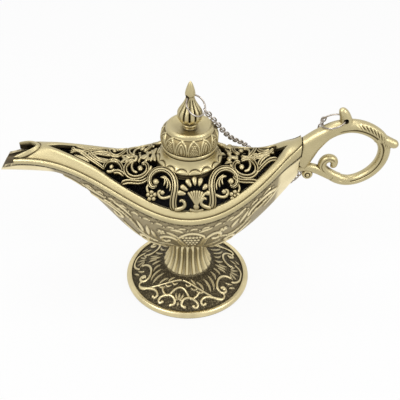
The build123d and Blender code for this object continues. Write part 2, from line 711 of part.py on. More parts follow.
def handle_ring():
    """Ring through the handle's thumb curl."""
    drop = radians(HANDLE_RING_DROP)
    return WireRing(in_plane(CURL_HOLE), (0, 1, 0), (-cos(drop), 0, -sin(drop)), HANDLE_RING_RADIUS)


def square_to(vector, heading):
    """Part of a vector that is square to a heading, at length 1."""
    return (vector - heading * vector.dot(heading)).normalized()


def chain_links():
    """Links from ring to ring, each a quarter turn from the last, the end links round the rings' wires."""
    first = finial_ring()
    last = handle_ring()
    line = Spline(first.point(FINIAL_RING_GRIP), *CHAIN_ROUTE, last.point(HANDLE_RING_GRIP))
    hold = LINK_INSIDE / 2 - RING_WIRE - LINK_SLACK / 2
    count = ceil((line.length - 2 * hold) / (LINK_INSIDE - LINK_SLACK)) + 1
    shares = steps(hold / line.length, 1 - hold / line.length, count)
    headings = [line % share for share in shares]
    normals = [square_to(first.heading(FINIAL_RING_GRIP), headings[0])]
    for heading in headings[1:]:
        normals.append(square_to(normals[-1], heading))
    wanted = square_to(last.heading(HANDLE_RING_GRIP), headings[-1])
    error = normals[-1].get_signed_angle(wanted, headings[-1]) - 90 * (count - 1)
    twist = ((error + 90) % 180 - 90) / (count - 1)
    bend = LINK_INNER_WIDTH / 2 + LINK_WIRE
    oval = SlotCenterToCenter(LINK_INSIDE - LINK_INNER_WIDTH, 2 * bend).face().outer_wire()
    link = sweep(Plane(origin=oval @ 0, z_dir=oval % 0) * Circle(LINK_WIRE).face(), path=oval)
    links = []
    for i in range(count):
        plane = Plane(origin=line @ shares[i], x_dir=headings[i], z_dir=normals[i])
        links.append((plane * Rot((90 + twist) * i, 0, 0) * link).solid())
    print(f"chain: {count} links along {line.length:.1f} mm")
    return links


def main():
    os.makedirs("parts", exist_ok=True)
    outside = hull(-LIP_REACH, STERN_REACH)
    links = chain_links()
    nodes = {
        "bowl": make_bowl(outside),
        "handle": make_handle(),
        "foot": make_foot(),
        "foot_screw": make_foot_screw(),
        "foot_washer": make_foot_washer(),
        "cover": make_cover(),
        "openwork": make_openwork(),
        "collar": make_collar(),
        "lid": make_lid(),
        "finial": make_finial(),
        "finial_nut": make_finial_nut(),
        "finial_ring": finial_ring().solid(),
        "handle_ring": handle_ring().solid(),
        "chain_upper": Compound(links[:UPPER_LINKS]),
        "chain_lower": Compound(links[UPPER_LINKS:]),
    }
    for name, shape in nodes.items():
        export_step(shape, f"parts/{name}.step")


if __name__ == "__main__":
    main()
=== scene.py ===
"""Dresses the genie oil lamp.

Shapes are in millimetres in the lamp's own frame and become metres when they are finished.
"""

import logging
import math
from collections.abc import Callable
from dataclasses import dataclass, field, replace
from enum import Enum

import bmesh
import bpy
import numpy as np
from mathutils import Matrix, Vector

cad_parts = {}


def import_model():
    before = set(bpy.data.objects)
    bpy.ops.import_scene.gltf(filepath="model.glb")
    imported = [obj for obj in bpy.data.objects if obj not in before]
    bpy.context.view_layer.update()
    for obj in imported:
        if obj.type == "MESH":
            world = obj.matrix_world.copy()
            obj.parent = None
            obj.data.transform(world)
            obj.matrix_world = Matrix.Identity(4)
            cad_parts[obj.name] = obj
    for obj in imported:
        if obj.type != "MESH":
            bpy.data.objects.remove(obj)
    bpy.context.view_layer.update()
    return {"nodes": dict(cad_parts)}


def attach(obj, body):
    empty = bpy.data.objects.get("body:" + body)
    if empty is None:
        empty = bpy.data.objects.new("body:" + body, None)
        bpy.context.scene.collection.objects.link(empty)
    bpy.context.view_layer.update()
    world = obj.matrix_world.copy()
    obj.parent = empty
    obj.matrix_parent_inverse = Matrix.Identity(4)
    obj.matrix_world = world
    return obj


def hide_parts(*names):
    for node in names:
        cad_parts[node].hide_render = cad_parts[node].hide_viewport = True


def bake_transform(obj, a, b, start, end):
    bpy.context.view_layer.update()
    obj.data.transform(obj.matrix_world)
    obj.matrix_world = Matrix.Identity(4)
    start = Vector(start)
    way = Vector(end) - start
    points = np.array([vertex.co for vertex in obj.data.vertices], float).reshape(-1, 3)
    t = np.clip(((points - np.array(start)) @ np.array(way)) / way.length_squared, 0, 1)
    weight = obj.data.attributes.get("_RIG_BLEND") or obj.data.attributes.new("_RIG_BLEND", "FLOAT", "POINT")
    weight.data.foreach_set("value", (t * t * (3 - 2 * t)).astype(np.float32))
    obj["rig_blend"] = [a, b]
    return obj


LOG = logging.getLogger("genie_lamp")
MM = 0.001
RELIEF = "relief"
BOTH_SIDES = (1.0, -1.0)
ROUTE_STEP = 0.35
BATCH = 4000
OUTLINE = 0.7
MIDDLE_STOP = 0.42
DRILL_LENGTH = 16.0

Array = np.ndarray
Form = bmesh.types.BMesh
Tree = bpy.types.NodeTree
Socket = bpy.types.NodeSocket
Piece = bpy.types.Object
Pieces = list[Piece]
Verts = list[bmesh.types.BMVert]
Points = list[tuple[float, float]]
Colour = tuple[float, float, float]
Turned = tuple[Array, Array, Array]
Turning = Callable[[Array, Array, Array], Turned]
Detail = Callable[[Array, Array], tuple[Array, Array]]


# Lines and ornament


class SmoothLine:
    """Smooth line through points, a cubic spline over their chord lengths."""

    def __init__(self, points: Points) -> None:
        """Fits the line.

        Args:
            points: the points that it goes through, two or more.
        """
        self.points = np.asarray(points, float)
        self.gaps = np.linalg.norm(np.diff(self.points, axis=0), axis=1)
        self.marks = np.concatenate(([0.0], np.cumsum(self.gaps)))
        self.slopes = self._fit()

    @property
    def length(self) -> float:
        """Length of the chords between the points."""
        return float(self.marks[-1])

    def _fit(self) -> Array:
        """Returns the slope at each point that keeps the curvature even."""
        count = len(self.points)
        matrix = np.eye(count)
        right = np.zeros_like(self.points)
        power = min(3, count - 1)
        first, last = self.marks[: power + 1], self.marks[-power - 1:]
        right[0] = np.polyfit(first - first[0], self.points[: power + 1], power)[-2]
        right[-1] = np.polyfit(last - last[-1], self.points[-power - 1:], power)[-2]
        rises = np.diff(self.points, axis=0) / self.gaps[:, None]
        for i in range(1, count - 1):
            before, after = self.gaps[i - 1], self.gaps[i]
            matrix[i, i - 1: i + 2] = after, 2 * (before + after), before
            right[i] = 3 * (after * rises[i - 1] + before * rises[i])
        return np.linalg.solve(matrix, right)

    def at(self, shares: Array) -> Array:
        """Points of the line at shares of its length, one row each."""
        distance = np.clip(shares, 0.0, 1.0) * self.marks[-1]
        i = np.clip(np.searchsorted(self.marks, distance, side="right") - 1, 0, len(self.gaps) - 1)
        gap = self.gaps[i][:, None]
        t = ((distance - self.marks[i]) / self.gaps[i])[:, None]
        start = (2 * t**3 - 3 * t**2 + 1) * self.points[i] + (t**3 - 2 * t**2 + t) * gap * self.slopes[i]
        end = (3 * t**2 - 2 * t**3) * self.points[i + 1] + (t**3 - t**2) * gap * self.slopes[i + 1]
        return start + end

    def spread(self, count: int) -> Array:
        """Evenly spread points of the line."""
        return self.at(np.linspace(0.0, 1.0, count))


def ramp(x: Array | float, start: float, end: float) -> Array:
    """Smooth step from 0 at start to 1 at end."""
    share = np.clip((x - start) / (end - start), 0.0, 1.0)
    return share * share * (3 - 2 * share)


def window(x: Array | float, start: float, end: float, soft: float) -> Array:
    """1 between start and end, with soft edges, and 0 outside."""
    return ramp(x, start, start + soft) * (1 - ramp(x, end - soft, end))


def hump(x: Array, middle: float | Array, spread: float) -> Array:
    """Smooth hump, 1 at its middle."""
    return np.exp(-(((x - middle) / spread) ** 2))


def half_round(x: Array) -> Array:
    """Height of a half circle of radius 1 at x."""
    return np.sqrt(np.clip(1 - x**2, 0.0, 1.0))


def repeat(angle: Array, count: int) -> Array:
    """Place within one of many repeats round the axis, from -1 to 1."""
    return np.mod(angle * count / (2 * np.pi), 1.0) * 2 - 1


def headings(line: Array, axis: int = 0) -> Array:
    """Direction of a line at each of its points."""
    way = np.gradient(line, axis=axis)
    return way / np.maximum(np.linalg.norm(way, axis=-1, keepdims=True), 1e-9)


def distances(line: Array) -> Array:
    """Distance along a line to each of its points."""
    return np.concatenate(([0.0], np.cumsum(np.linalg.norm(np.diff(line, axis=0), axis=1))))


class Section(Enum):
    """Cross-section of a raised line of ornament."""

    ROLL = "round back"
    GROOVED = "three ridges with two grooves"
    LEAF = "pointed leaf with a vein"
    DOUBLE = "two edge ridges with a hollow between"


@dataclass(frozen=True)
class Stroke:
    """One raised line of ornament on a flat plan.

    Attributes:
        points: its route.
        half: half its width.
        height: how far it stands out.
        section: its cross-section.
        thin: share of the width at its start and end.
    """

    points: Points
    half: float
    height: float
    section: Section = Section.ROLL
    thin: tuple[float, float] = (1.0, 1.0)

    def width(self, share: Array) -> Array:
        """Half width at shares of the way along."""
        if self.section is Section.LEAF:
            return self.half * np.maximum(np.sin(np.pi * np.clip(share, 0.02, 0.98)), 0.0) ** 0.7
        return self.half * (self.thin[0] + (self.thin[1] - self.thin[0]) * share)

    def profile(self, out: Array) -> Array:
        """Height at a share of the half width from the middle, from 0 to 1."""
        if self.section is Section.GROOVED:
            return (1 - 0.55 * hump(out, 0.42, 0.12)) * (1 - out**8)
        if self.section is Section.LEAF:
            return (1 - out**2) * (0.5 + 0.62 * np.sqrt(out))
        if self.section is Section.DOUBLE:
            return (1 - 0.6 * hump(out, 0.0, 0.28)) * (1 - out**8)
        return half_round(out)

    def widened(self, extra: float) -> "Stroke":
        """Copy that is wider on both sides."""
        return replace(self, half=self.half + extra)

    def mirrored(self, right: float, up: float) -> "Stroke":
        """Copy that is mirrored left to right and then shifted."""
        return replace(self, points=[(right - x, up + y) for x, y in self.points])


def drawn(height: float, section: Section, *rows: tuple) -> list[Stroke]:
    """Strokes of one height and section.

    Args:
        height: how far they stand out.
        section: their cross-section.
        rows: a half width and then the points of the route, one row for each stroke.

    Returns:
        The strokes.
    """
    return [Stroke(route, half, height, section) for half, *route in rows]


def dot(x: float, y: float, radius: float, height: float) -> Stroke:
    """Round boss of ornament."""
    return Stroke([(x, y), (x + 0.02, y)], radius, height)


def flower(x: float, y: float, reach: float, petal: float, turn: float, height: float) -> list[Stroke]:
    """Five round petals of a flower at x and y, without its middle."""
    turns = [math.radians(72 * i + turn) for i in range(5)]
    return [dot(x + reach * math.cos(angle), y + reach * math.sin(angle), petal, height) for angle in turns]


def carved(spots: Array, strokes: list[Stroke]) -> Array:
    """Height of a set of strokes over a plan.

    Args:
        spots: places on the plan, one row each.
        strokes: the ornament.

    Returns:
        The height of the highest stroke at each place.
    """
    heights = np.zeros(len(spots))
    for stroke in strokes:
        line = SmoothLine(stroke.points)
        run = line.spread(max(4, int(line.length / ROUTE_STEP)))
        inside = (spots > run.min(axis=0) - stroke.half) & (spots < run.max(axis=0) + stroke.half)
        near = np.nonzero(inside.all(axis=1))[0]
        for part in np.array_split(near, max(1, len(near) // BATCH)):
            gaps = np.linalg.norm(spots[part, None, :] - run[None, :, :], axis=2)
            best = gaps.argmin(axis=1) if len(part) else np.zeros(0, int)
            gap = gaps[np.arange(len(part)), best]
            out = gap / np.maximum(stroke.width(best / (len(run) - 1)), 0.05)
            rise = np.where(out < 1, stroke.height * stroke.profile(np.clip(out, 0, 1)), 0.0)
            heights[part] = np.maximum(heights[part], rise)
    return heights


def tarnish_and_outline_shade(spots: Array, strokes: list[Stroke], heights: Array, tall: float, ground: float) -> Array:
    """How raised carved metal counts: rubbed bright backs, dark outlines that are part tarnish and part
    painted shade at each stroke's foot, and a ground between.

    Args:
        spots: places on the plan, one row each.
        strokes: the ornament.
        heights: its height at each place.
        tall: the height that counts as fully raised.
        ground: the mark of open ground.

    Returns:
        A mark for each place, from 0 to 1.
    """
    # Outlines beside the strokes are darkened as tarnish and as painted shade where stroke meets ground.
    beside = carved(spots, [stroke.widened(OUTLINE) for stroke in strokes]) / tall
    return np.where(heights > 0.02, heights / tall, ground * (1 - np.clip(beside, 0.0, 1.0)))


# Meshes and pieces


def new_form() -> Form:
    """Empty bmesh with the layer that tells raised metal from recesses."""
    form = bmesh.new()
    form.verts.layers.float.new(RELIEF)
    return form


def lay_sheet(form: Form, table: Array, relief: Array | float = 1.0) -> Verts:
    """Lays a grid and moves it onto a surface.

    Args:
        form: the bmesh that gets it.
        table: a place for each row and column of the grid.
        relief: how raised each place is, from 0 to 1.

    Returns:
        The new vertices.
    """
    rows, columns = table.shape[:2]
    made = bmesh.ops.create_grid(form, x_segments=rows - 1, y_segments=columns - 1, size=1.0)["verts"]
    flat = np.array([vert.co[:2] for vert in made])
    i = np.rint((flat[:, 0] + 1) / 2 * (rows - 1)).astype(int)
    j = np.rint((flat[:, 1] + 1) / 2 * (columns - 1)).astype(int)
    layer = form.verts.layers.float[RELIEF]
    marks = np.broadcast_to(relief, (rows, columns))[i, j].tolist()
    for vert, spot, mark in zip(made, table[i, j].tolist(), marks):
        vert.co = spot
        vert[layer] = mark
    return made


def turn_profile(form: Form, profile: Array, steps: int, relief: float = 1.0) -> Verts:
    """Spins a profile of (radius, z) round the upright axis.

    Args:
        form: the bmesh that gets it.
        profile: the outline, one row each.
        steps: faces round the axis.
        relief: how raised the metal is.

    Returns:
        The new vertices.
    """
    layer = form.verts.layers.float[RELIEF]
    before = set(form.verts)
    verts = [form.verts.new((radius, 0.0, height)) for radius, height in np.asarray(profile).tolist()]
    edges = [form.edges.new(pair) for pair in zip(verts, verts[1:])]
    bmesh.ops.spin(form, geom=verts + edges, cent=(0, 0, 0), axis=(0, 0, 1), angle=2 * math.pi,
                   steps=steps, use_merge=True)
    made = [vert for vert in form.verts if vert not in before]
    for vert in made:
        vert[layer] = relief
    return made


def turned(profile: Array, steps: int, change: Turning) -> Form:
    """Spins a profile, then moves its points in and out and marks their relief.

    Args:
        profile: the outline as (radius, z), one row each.
        steps: faces round the axis.
        change: takes angle, radius and height and returns new radius, new height and relief.

    Returns:
        A new bmesh.
    """
    form = new_form()
    verts = turn_profile(form, profile, steps)
    spots = np.array([vert.co[:] for vert in verts])
    angle = np.arctan2(spots[:, 1], spots[:, 0])
    radius, height, marks = change(angle, np.hypot(spots[:, 0], spots[:, 1]), spots[:, 2])
    moved = np.stack((radius * np.cos(angle), radius * np.sin(angle), height), axis=1)
    layer = form.verts.layers.float[RELIEF]
    for vert, spot, mark in zip(verts, moved.tolist(), marks.tolist()):
        vert.co = spot
        vert[layer] = mark
    return form


def finished(name: str, form: Form, materials: list[bpy.types.Material], crease: float = 38.0,
             merge: float = 0.004) -> Piece:
    """Turns a bmesh into a finished piece in metres.

    Args:
        name: the piece's name.
        form: its shape in millimetres, used up here.
        materials: its material slots in order.
        crease: angle in degrees past which an edge is sharp.
        merge: distance within which vertices become one.

    Returns:
        The new object.
    """
    bmesh.ops.remove_doubles(form, verts=form.verts, dist=merge)
    bmesh.ops.dissolve_degenerate(form, edges=form.edges, dist=merge / 4)
    bmesh.ops.recalc_face_normals(form, faces=form.faces)
    bmesh.ops.scale(form, vec=(MM, MM, MM), verts=form.verts)
    mesh = bpy.data.meshes.new(name)
    form.to_mesh(mesh)
    form.free()
    mesh.shade_smooth()
    mesh.set_sharp_from_angle(angle=math.radians(crease))
    for material in materials:
        mesh.materials.append(material)
    piece = bpy.data.objects.new(name, mesh)
    bpy.context.scene.collection.objects.link(piece)
    return piece


def cut_away(piece: Piece, cutter: Form) -> None:
    """Takes one solid out of another.

    Args:
        piece: what is cut.
        cutter: what is taken out, in millimetres, used up here.
    """
    tool = piece.modifiers.new("cut", "BOOLEAN")
    tool.operation = "DIFFERENCE"
    tool.solver = "EXACT"
    tool.object = finished("cutter", cutter, [])
    bpy.context.view_layer.update()
    cut = bpy.data.meshes.new_from_object(piece.evaluated_get(bpy.context.evaluated_depsgraph_get()))
    bpy.data.objects.remove(tool.object)
    piece.modifiers.clear()
    old = piece.data
    cut.name = old.name + "_cut"
    piece.data = cut
    bpy.data.meshes.remove(old)


def drill(piece: Piece, radius: float, segments: int, place: Matrix) -> None:
    """Drills a round hole through a piece, along the z axis of the place."""
    form = new_form()
    bmesh.ops.create_cone(form, cap_ends=True, segments=segments, radius1=radius, radius2=radius,
                          depth=DRILL_LENGTH, matrix=place)
    cut_away(piece, form)


def fitted(piece: Piece, node: str, body: str) -> Piece:
    """Lets a brass piece stand for a CAD node and ride on a body; returns it."""
    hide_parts(node)
    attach(piece, body)
    return piece


# Finishes


def math_node(tree: Tree, operation: str, first: Socket | float, second: Socket | float) -> Socket:
    """Math node of two sockets or numbers; returns its output."""
    node = tree.nodes.new("ShaderNodeMath")
    node.operation = operation
    for place, value in zip(node.inputs, (first, second)):
        if isinstance(value, (int, float)):
            place.default_value = value
        else:
            tree.links.new(value, place)
    return node.outputs[0]


def range_node(tree: Tree, value: Socket, low: float, high: float,
               to_low: float = 0.0, to_high: float = 1.0) -> Socket:
    """Map Range node with clamped ends; returns its output."""
    node = tree.nodes.new("ShaderNodeMapRange")
    tree.links.new(value, node.inputs["Value"])
    for label, number in zip(("From Min", "From Max", "To Min", "To Max"), (low, high, to_low, to_high)):
        node.inputs[label].default_value = number
    return node.outputs["Result"]


def noise_node(tree: Tree, coords: Socket, scale: float, detail: float) -> Socket:
    """Noise texture on given coordinates; returns its value."""
    node = tree.nodes.new("ShaderNodeTexNoise")
    tree.links.new(coords, node.inputs["Vector"])
    for label, number in (("Scale", scale), ("Detail", detail), ("Roughness", 0.55)):
        node.inputs[label].default_value = number
    return node.outputs["Fac"]


def mix_node(tree: Tree, share: Socket, first: bpy.types.Node,
             second: bpy.types.Node, target: str) -> None:
    """Mixes two shaders into an output node of the named kind."""
    mix = tree.nodes.new("ShaderNodeMixShader")
    for place, socket in enumerate((share, first.outputs[0], second.outputs[0])):
        tree.links.new(socket, mix.inputs[place])
    tree.links.new(mix.outputs[0], tree.nodes.new(target).inputs["Surface"])


class Metal:
    """Material with a principled shader, and the nodes that metals have in common."""

    def __init__(self, name: str, metallic: float) -> None:
        """Makes the material.

        Args:
            name: the material's name.
            metallic: 1 for bare metal.
        """
        self.made = bpy.data.materials.new(name)
        self.made.use_nodes = True
        self.tree = self.made.node_tree
        self.shader = self.tree.nodes["Principled BSDF"]
        self.shader.inputs["Metallic"].default_value = metallic

    def group(self, group: Tree, relief: Socket, **values: float) -> bpy.types.Node:
        """Adds a node group on the relief, with values for its other inputs, and returns it."""
        node = self.tree.nodes.new("ShaderNodeGroup")
        node.node_tree = group
        self.tree.links.new(relief, node.inputs["Relief"])
        for label, value in values.items():
            node.inputs[label].default_value = value
        return node

    def colour(self, share: Socket, colours: tuple[Colour, ...], rough: tuple[float, float]) -> None:
        """Blends colour and roughness over a share from 0 to 1.

        Args:
            share: the share.
            colours: colours from 0 to 1; one between the two sits at MIDDLE_STOP.
            rough: roughness at 0 and at 1.
        """
        ramped = self.tree.nodes.new("ShaderNodeValToRGB")
        stops = ramped.color_ramp.elements
        stops[0].color, stops[1].color = (*colours[0], 1.0), (*colours[-1], 1.0)
        for colour in colours[1:-1]:
            stops.new(MIDDLE_STOP).color = (*colour, 1.0)
        self.tree.links.new(share, ramped.inputs["Fac"])
        self.tree.links.new(ramped.outputs["Color"], self.shader.inputs["Base Color"])
        self.tree.links.new(range_node(self.tree, share, 0.0, 1.0, *rough), self.shader.inputs["Roughness"])

    def bump(self, height: Socket, strength: float, distance: float) -> None:
        """Adds fine grain, no deeper than the distance in metres."""
        bump = self.tree.nodes.new("ShaderNodeBump")
        bump.inputs["Strength"].default_value = strength
        bump.inputs["Distance"].default_value = distance
        self.tree.links.new(height, bump.inputs["Height"])
        self.tree.links.new(bump.outputs["Normal"], self.shader.inputs["Normal"])


class Effects:
    """Node groups that several finishes share."""

    def __init__(self) -> None:
        """Builds the groups once."""
        self.tarnish_and_shade = self._tarnish_and_shade()
        self.grain = self._grain()

    @staticmethod
    def _group(name: str, inputs: dict[str, float], outputs: tuple[str, ...]) -> tuple:
        """New group of float sockets; returns it, its input node, its output node and object coordinates."""
        group = bpy.data.node_groups.new(name, "ShaderNodeTree")
        for label, value in inputs.items():
            socket = group.interface.new_socket(name=label, in_out="INPUT", socket_type="NodeSocketFloat")
            socket.default_value = value
        for label in outputs:
            group.interface.new_socket(name=label, in_out="OUTPUT", socket_type="NodeSocketFloat")
        coords = group.nodes.new("ShaderNodeTexCoord").outputs["Object"]
        return group, group.nodes.new("NodeGroupInput"), group.nodes.new("NodeGroupOutput"), coords

    def _tarnish_and_shade(self) -> Tree:
        """Returns the group that finds where the metal darkens: tarnish in recesses and cloudy patches, and
        painted shade in corners and gaps between pieces.
        """
        inputs = {"Relief": 1.0, "Low": 0.05, "High": 0.75, "Reach": 0.003, "Cloud": 0.25}
        group, source, target, coords = self._group("tarnish_and_shade", inputs, ("Bright",))
        # Ambient occlusion darkens corners and gaps between pieces: tarnish in the recesses, and painted
        # shade where pieces meet.
        hollow = group.nodes.new("ShaderNodeAmbientOcclusion")
        hollow.samples = 12
        group.links.new(source.outputs["Reach"], hollow.inputs["Distance"])
        open_air = range_node(group, hollow.outputs["AO"], 0.25, 0.85)
        raised = group.nodes.new("ShaderNodeMapRange")
        raised.interpolation_type = "SMOOTHSTEP"
        for label, place in (("Relief", "Value"), ("Low", "From Min"), ("High", "From Max")):
            group.links.new(source.outputs[label], raised.inputs[place])
        patches = range_node(group, noise_node(group, coords, 95.0, 4.0), 0.3, 0.7)
        loss = math_node(group, "MULTIPLY", patches, source.outputs["Cloud"])
        clear = math_node(group, "MULTIPLY", raised.outputs["Result"], open_air)
        bright = math_node(group, "MULTIPLY", clear, math_node(group, "SUBTRACT", 1.0, loss))
        group.links.new(bright, target.inputs["Bright"])
        return group

    def _grain(self) -> Tree:
        """Returns the group of the cast skin: fine grain all over and a stippled ground in recesses."""
        inputs = {"Relief": 1.0, "Stipple": 0.0, "Grain": 0.3}
        group, source, target, coords = self._group("cast_skin", inputs, ("Height", "Dots"))
        fine = math_node(group, "MULTIPLY", noise_node(group, coords, 1500.0, 2.0), source.outputs["Grain"])
        cells = group.nodes.new("ShaderNodeTexVoronoi")
        cells.inputs["Scale"].default_value = 1050.0
        group.links.new(coords, cells.inputs["Vector"])
        beads = range_node(group, cells.outputs["Distance"], 0.05, 0.6, 1.0, 0.0)
        ground = range_node(group, source.outputs["Relief"], 0.4, 0.55, 1.0, 0.0)
        beaded = math_node(group, "MULTIPLY", beads, ground)
        stipple = math_node(group, "MULTIPLY", beaded, source.outputs["Stipple"])
        group.links.new(math_node(group, "ADD", fine, stipple), target.inputs["Height"])
        group.links.new(stipple, target.inputs["Dots"])
        return group


@dataclass(frozen=True)
class AntiqueBrass:
    """Satin brass with dark tarnish left in its recesses and painted shade in its corners.

    Attributes:
        name: the material's name.
        dark: colour of the tarnish and of the painted shade.
        middle: colour between the dark and the rubbed metal.
        bright: colour of the rubbed metal.
        low: relief below which tarnish and painted shade are full.
        high: relief above which metal is rubbed bright.
        reach: distance in metres over which corners darken, as tarnish and as painted shade.
        cloud: strength of the cloudy patches.
        stipple: height of the stippled ground.
        gloss: roughness of the rubbed metal.
    """

    name: str
    bright: Colour
    dark: Colour = (0.04, 0.03, 0.016)
    middle: Colour = (0.26, 0.205, 0.1)
    low: float = 0.05
    high: float = 0.8
    reach: float = 0.0035
    cloud: float = 0.18
    stipple: float = 0.0
    gloss: float = 0.3

    def material(self, effects: Effects) -> bpy.types.Material:
        """Builds the material from the shared effects and returns it."""
        metal = Metal(self.name, 1.0)
        mark = metal.tree.nodes.new("ShaderNodeAttribute")
        mark.attribute_name = RELIEF
        tarnish_and_shade = metal.group(effects.tarnish_and_shade, mark.outputs["Fac"], Low=self.low, High=self.high,
                              Reach=self.reach, Cloud=self.cloud)
        skin = metal.group(effects.grain, mark.outputs["Fac"], Stipple=self.stipple)
        dots = math_node(metal.tree, "MULTIPLY", skin.outputs["Dots"], 0.55)
        rubbed = math_node(metal.tree, "MAXIMUM", tarnish_and_shade.outputs["Bright"], dots)
        metal.colour(rubbed, (self.dark, self.middle, self.bright), (0.6, self.gloss))
        metal.bump(skin.outputs["Height"], 0.35, 0.0003)
        return metal.made


@dataclass(frozen=True)
class PlainMetal:
    """Plain plated metal, or a plain dark inside.

    Attributes:
        name: the material's name.
        clean: colour where it is clean.
        dull: colour where it is dull.
        metallic: 1 for bare metal.
        rough: lowest and highest roughness.
        patch: patches to the metre.
    """

    name: str
    clean: Colour
    dull: Colour
    metallic: float
    rough: tuple[float, float]
    patch: float

    def material(self) -> bpy.types.Material:
        """Builds the material and returns it."""
        metal = Metal(self.name, self.metallic)
        coords = metal.tree.nodes.new("ShaderNodeTexCoord").outputs["Object"]
        patches = range_node(metal.tree, noise_node(metal.tree, coords, self.patch, 4.0), 0.35, 0.68)
        metal.colour(patches, (self.clean, self.dull), self.rough)
        metal.bump(noise_node(metal.tree, coords, 2200.0, 2.0), 0.2, 0.0002)
        return metal.made


class Finishes:
    """The lamp's materials."""

    def __init__(self) -> None:
        """Builds each material once."""
        effects = Effects()
        self.smooth, self.carved, self.foot, self.pierced = (finish.material(effects) for finish in (
            AntiqueBrass("antique_brass_smooth", bright=(0.55, 0.475, 0.27), reach=0.0025, cloud=0.14,
                         gloss=0.36),
            AntiqueBrass("antique_brass_carved", dark=(0.1, 0.082, 0.048), middle=(0.39, 0.327, 0.195),
                         bright=(0.92, 0.8, 0.49), low=0.0, stipple=1.0, gloss=0.34),
            # The foot's rubbed colour is brighter than the other brass as painted light, lifting the stem
            # that sits in the bowl's shade.
            AntiqueBrass("antique_brass_foot_painted_light", dark=(0.036, 0.029, 0.018), middle=(0.21, 0.173, 0.098),
                         bright=(0.74, 0.635, 0.37), low=0.0, high=0.85, reach=0.002, stipple=0.65),
            AntiqueBrass("antique_brass_pierced", bright=(0.5, 0.43, 0.25), high=0.65, reach=0.0025,
                         gloss=0.36)))
        self.inside, self.trough, self.nickel, self.steel = (finish.material() for finish in (
            # The bowl's inside is coloured a flat near black, darker than any of the brass.
            PlainMetal("near_black_inside", (0.018, 0.018, 0.02), (0.03, 0.027, 0.024), 0.0, (0.55, 0.75),
                       60.0),
            PlainMetal("brown_inside", (0.1, 0.078, 0.045), (0.055, 0.042, 0.024), 0.8, (0.45, 0.65), 120.0),
            PlainMetal("nickel_wire", (0.5, 0.46, 0.41), (0.24, 0.2, 0.16), 1.0, (0.2, 0.36), 420.0),
            PlainMetal("zinc_plated_steel", (0.6, 0.6, 0.6), (0.42, 0.41, 0.39), 1.0, (0.28, 0.45), 300.0)))


# Bowl, cover and openwork


@dataclass(frozen=True)
class LampLines:
    """Rim, seam and keel of the lamp over x, which runs from the spout to the handle.

    Attributes:
        spout_reach, lip_reach: x in front of the middle to the hood's end and to the bowl's lip.
        lip_slant: how far the lip leans back at its top.
        stern_reach: x behind the middle to the stern.
        bowl_half_width, spout_half_width: half widths of the rim at the middle and along the spout.
        spout_spread: x over which the rim narrows to the spout.
        stern_turn: x at which the stern's curve would close.
        stern_blunt: extra half width at the stern.
        waist_height: height of the groove at the middle.
        spout_rise, spout_peak: rise of the groove to the spout, and x where it is highest.
        stern_rise, stern_dip: rise of the groove to the stern, and how far it dips at its end.
        bead_height, seam_drop: height of the bead under the groove, and how much taller it is at the stern.
        seam_gap: gap between bowl and cover.
        keel_height, keel_rise: height of the keel at the stem, and its rise to the spout.
        band_width: width of the rim's band.
        opening_front, opening_rear: x of the ends of the cover's opening.
        tip_swell: how much fuller the opening is near its front tip.
    """

    spout_reach: float = 93.5
    lip_reach: float = 103.48
    lip_slant: float = 4.0
    stern_reach: float = 59.4
    bowl_half_width: float = 31.3
    spout_half_width: float = 6.9
    spout_spread: float = 49.5
    stern_turn: float = 62.5
    stern_blunt: float = 2.2
    waist_height: float = 69.5
    spout_rise: float = 20.1
    spout_peak: float = 84.0
    stern_rise: float = 33.5
    stern_dip: float = 2.0
    bead_height: float = 3.5
    seam_drop: float = 4.0
    seam_gap: float = 0.3
    keel_height: float = 29.0
    keel_rise: float = 48.5
    band_width: float = 5.6
    opening_front: float = 76.0
    opening_rear: float = 52.5
    tip_swell: float = 5.4

    def _aft(self, x: Array) -> Array:
        """Share of the way from the middle to the stern."""
        return np.maximum(x, 0.0) / self.stern_reach

    def half_width(self, x: Array) -> Array:
        """Half width of the rim."""
        wider = self.bowl_half_width - self.spout_half_width
        fore = self.spout_half_width + wider * hump(x, 0.0, self.spout_spread)
        aft = self.bowl_half_width * np.cos(np.radians(90 * x / self.stern_turn))
        return np.where(x < 0, fore, aft + self.stern_blunt * self._aft(x) ** 10)

    def groove(self, x: Array) -> Array:
        """Height of the groove round the rim."""
        fore = self.spout_rise * np.sin(np.radians(90 * x / self.spout_peak)) ** 2
        aft = self.stern_rise * self._aft(x) ** 2.1
        dip = self.stern_dip * ramp(x, 50.0, self.stern_reach)
        return self.waist_height + np.where(x < 0, fore, aft) - dip

    def seam(self, x: Array) -> Array:
        """Height of the seam between bowl and cover."""
        return self.groove(x) - self.bead_height - self.seam_drop * self._aft(x) ** 4

    def keel(self, x: Array) -> Array:
        """Height of the bowl's underside."""
        share = np.clip((-x - 16.0) / 59.0, 0.0, 1.0)
        fore = self.keel_rise * np.sin(np.radians(90 * share)) ** 2
        aft = 49.0 * (np.maximum(x - 12.0, 0.0) / (self.stern_reach - 12.0)) ** 1.7
        return self.keel_height + np.where(x < 0, fore, aft)

    def opening(self, x: Array) -> Array:
        """Half width of the cover's opening, nothing at both ends."""
        fore_end = self.half_width(np.array(-self.opening_front)) - self.band_width
        aft_end = self.half_width(np.array(self.opening_rear)) - self.band_width
        share = np.clip((-x - self.band_width) / (self.opening_front - self.band_width), 0.0, 1.0)
        fore = fore_end * (np.sin(np.radians(90 * share)) ** 2 - self.tip_swell * share**4 * (1 - share))
        aft = aft_end * (x / self.opening_rear) ** 2
        free = self.half_width(x) - self.band_width - np.where(x < 0, fore, aft)
        inside = (x > -self.opening_front) & (x < self.opening_rear)
        return np.where(inside, np.maximum(free, 0.0), 0.0)


LINES = LampLines()


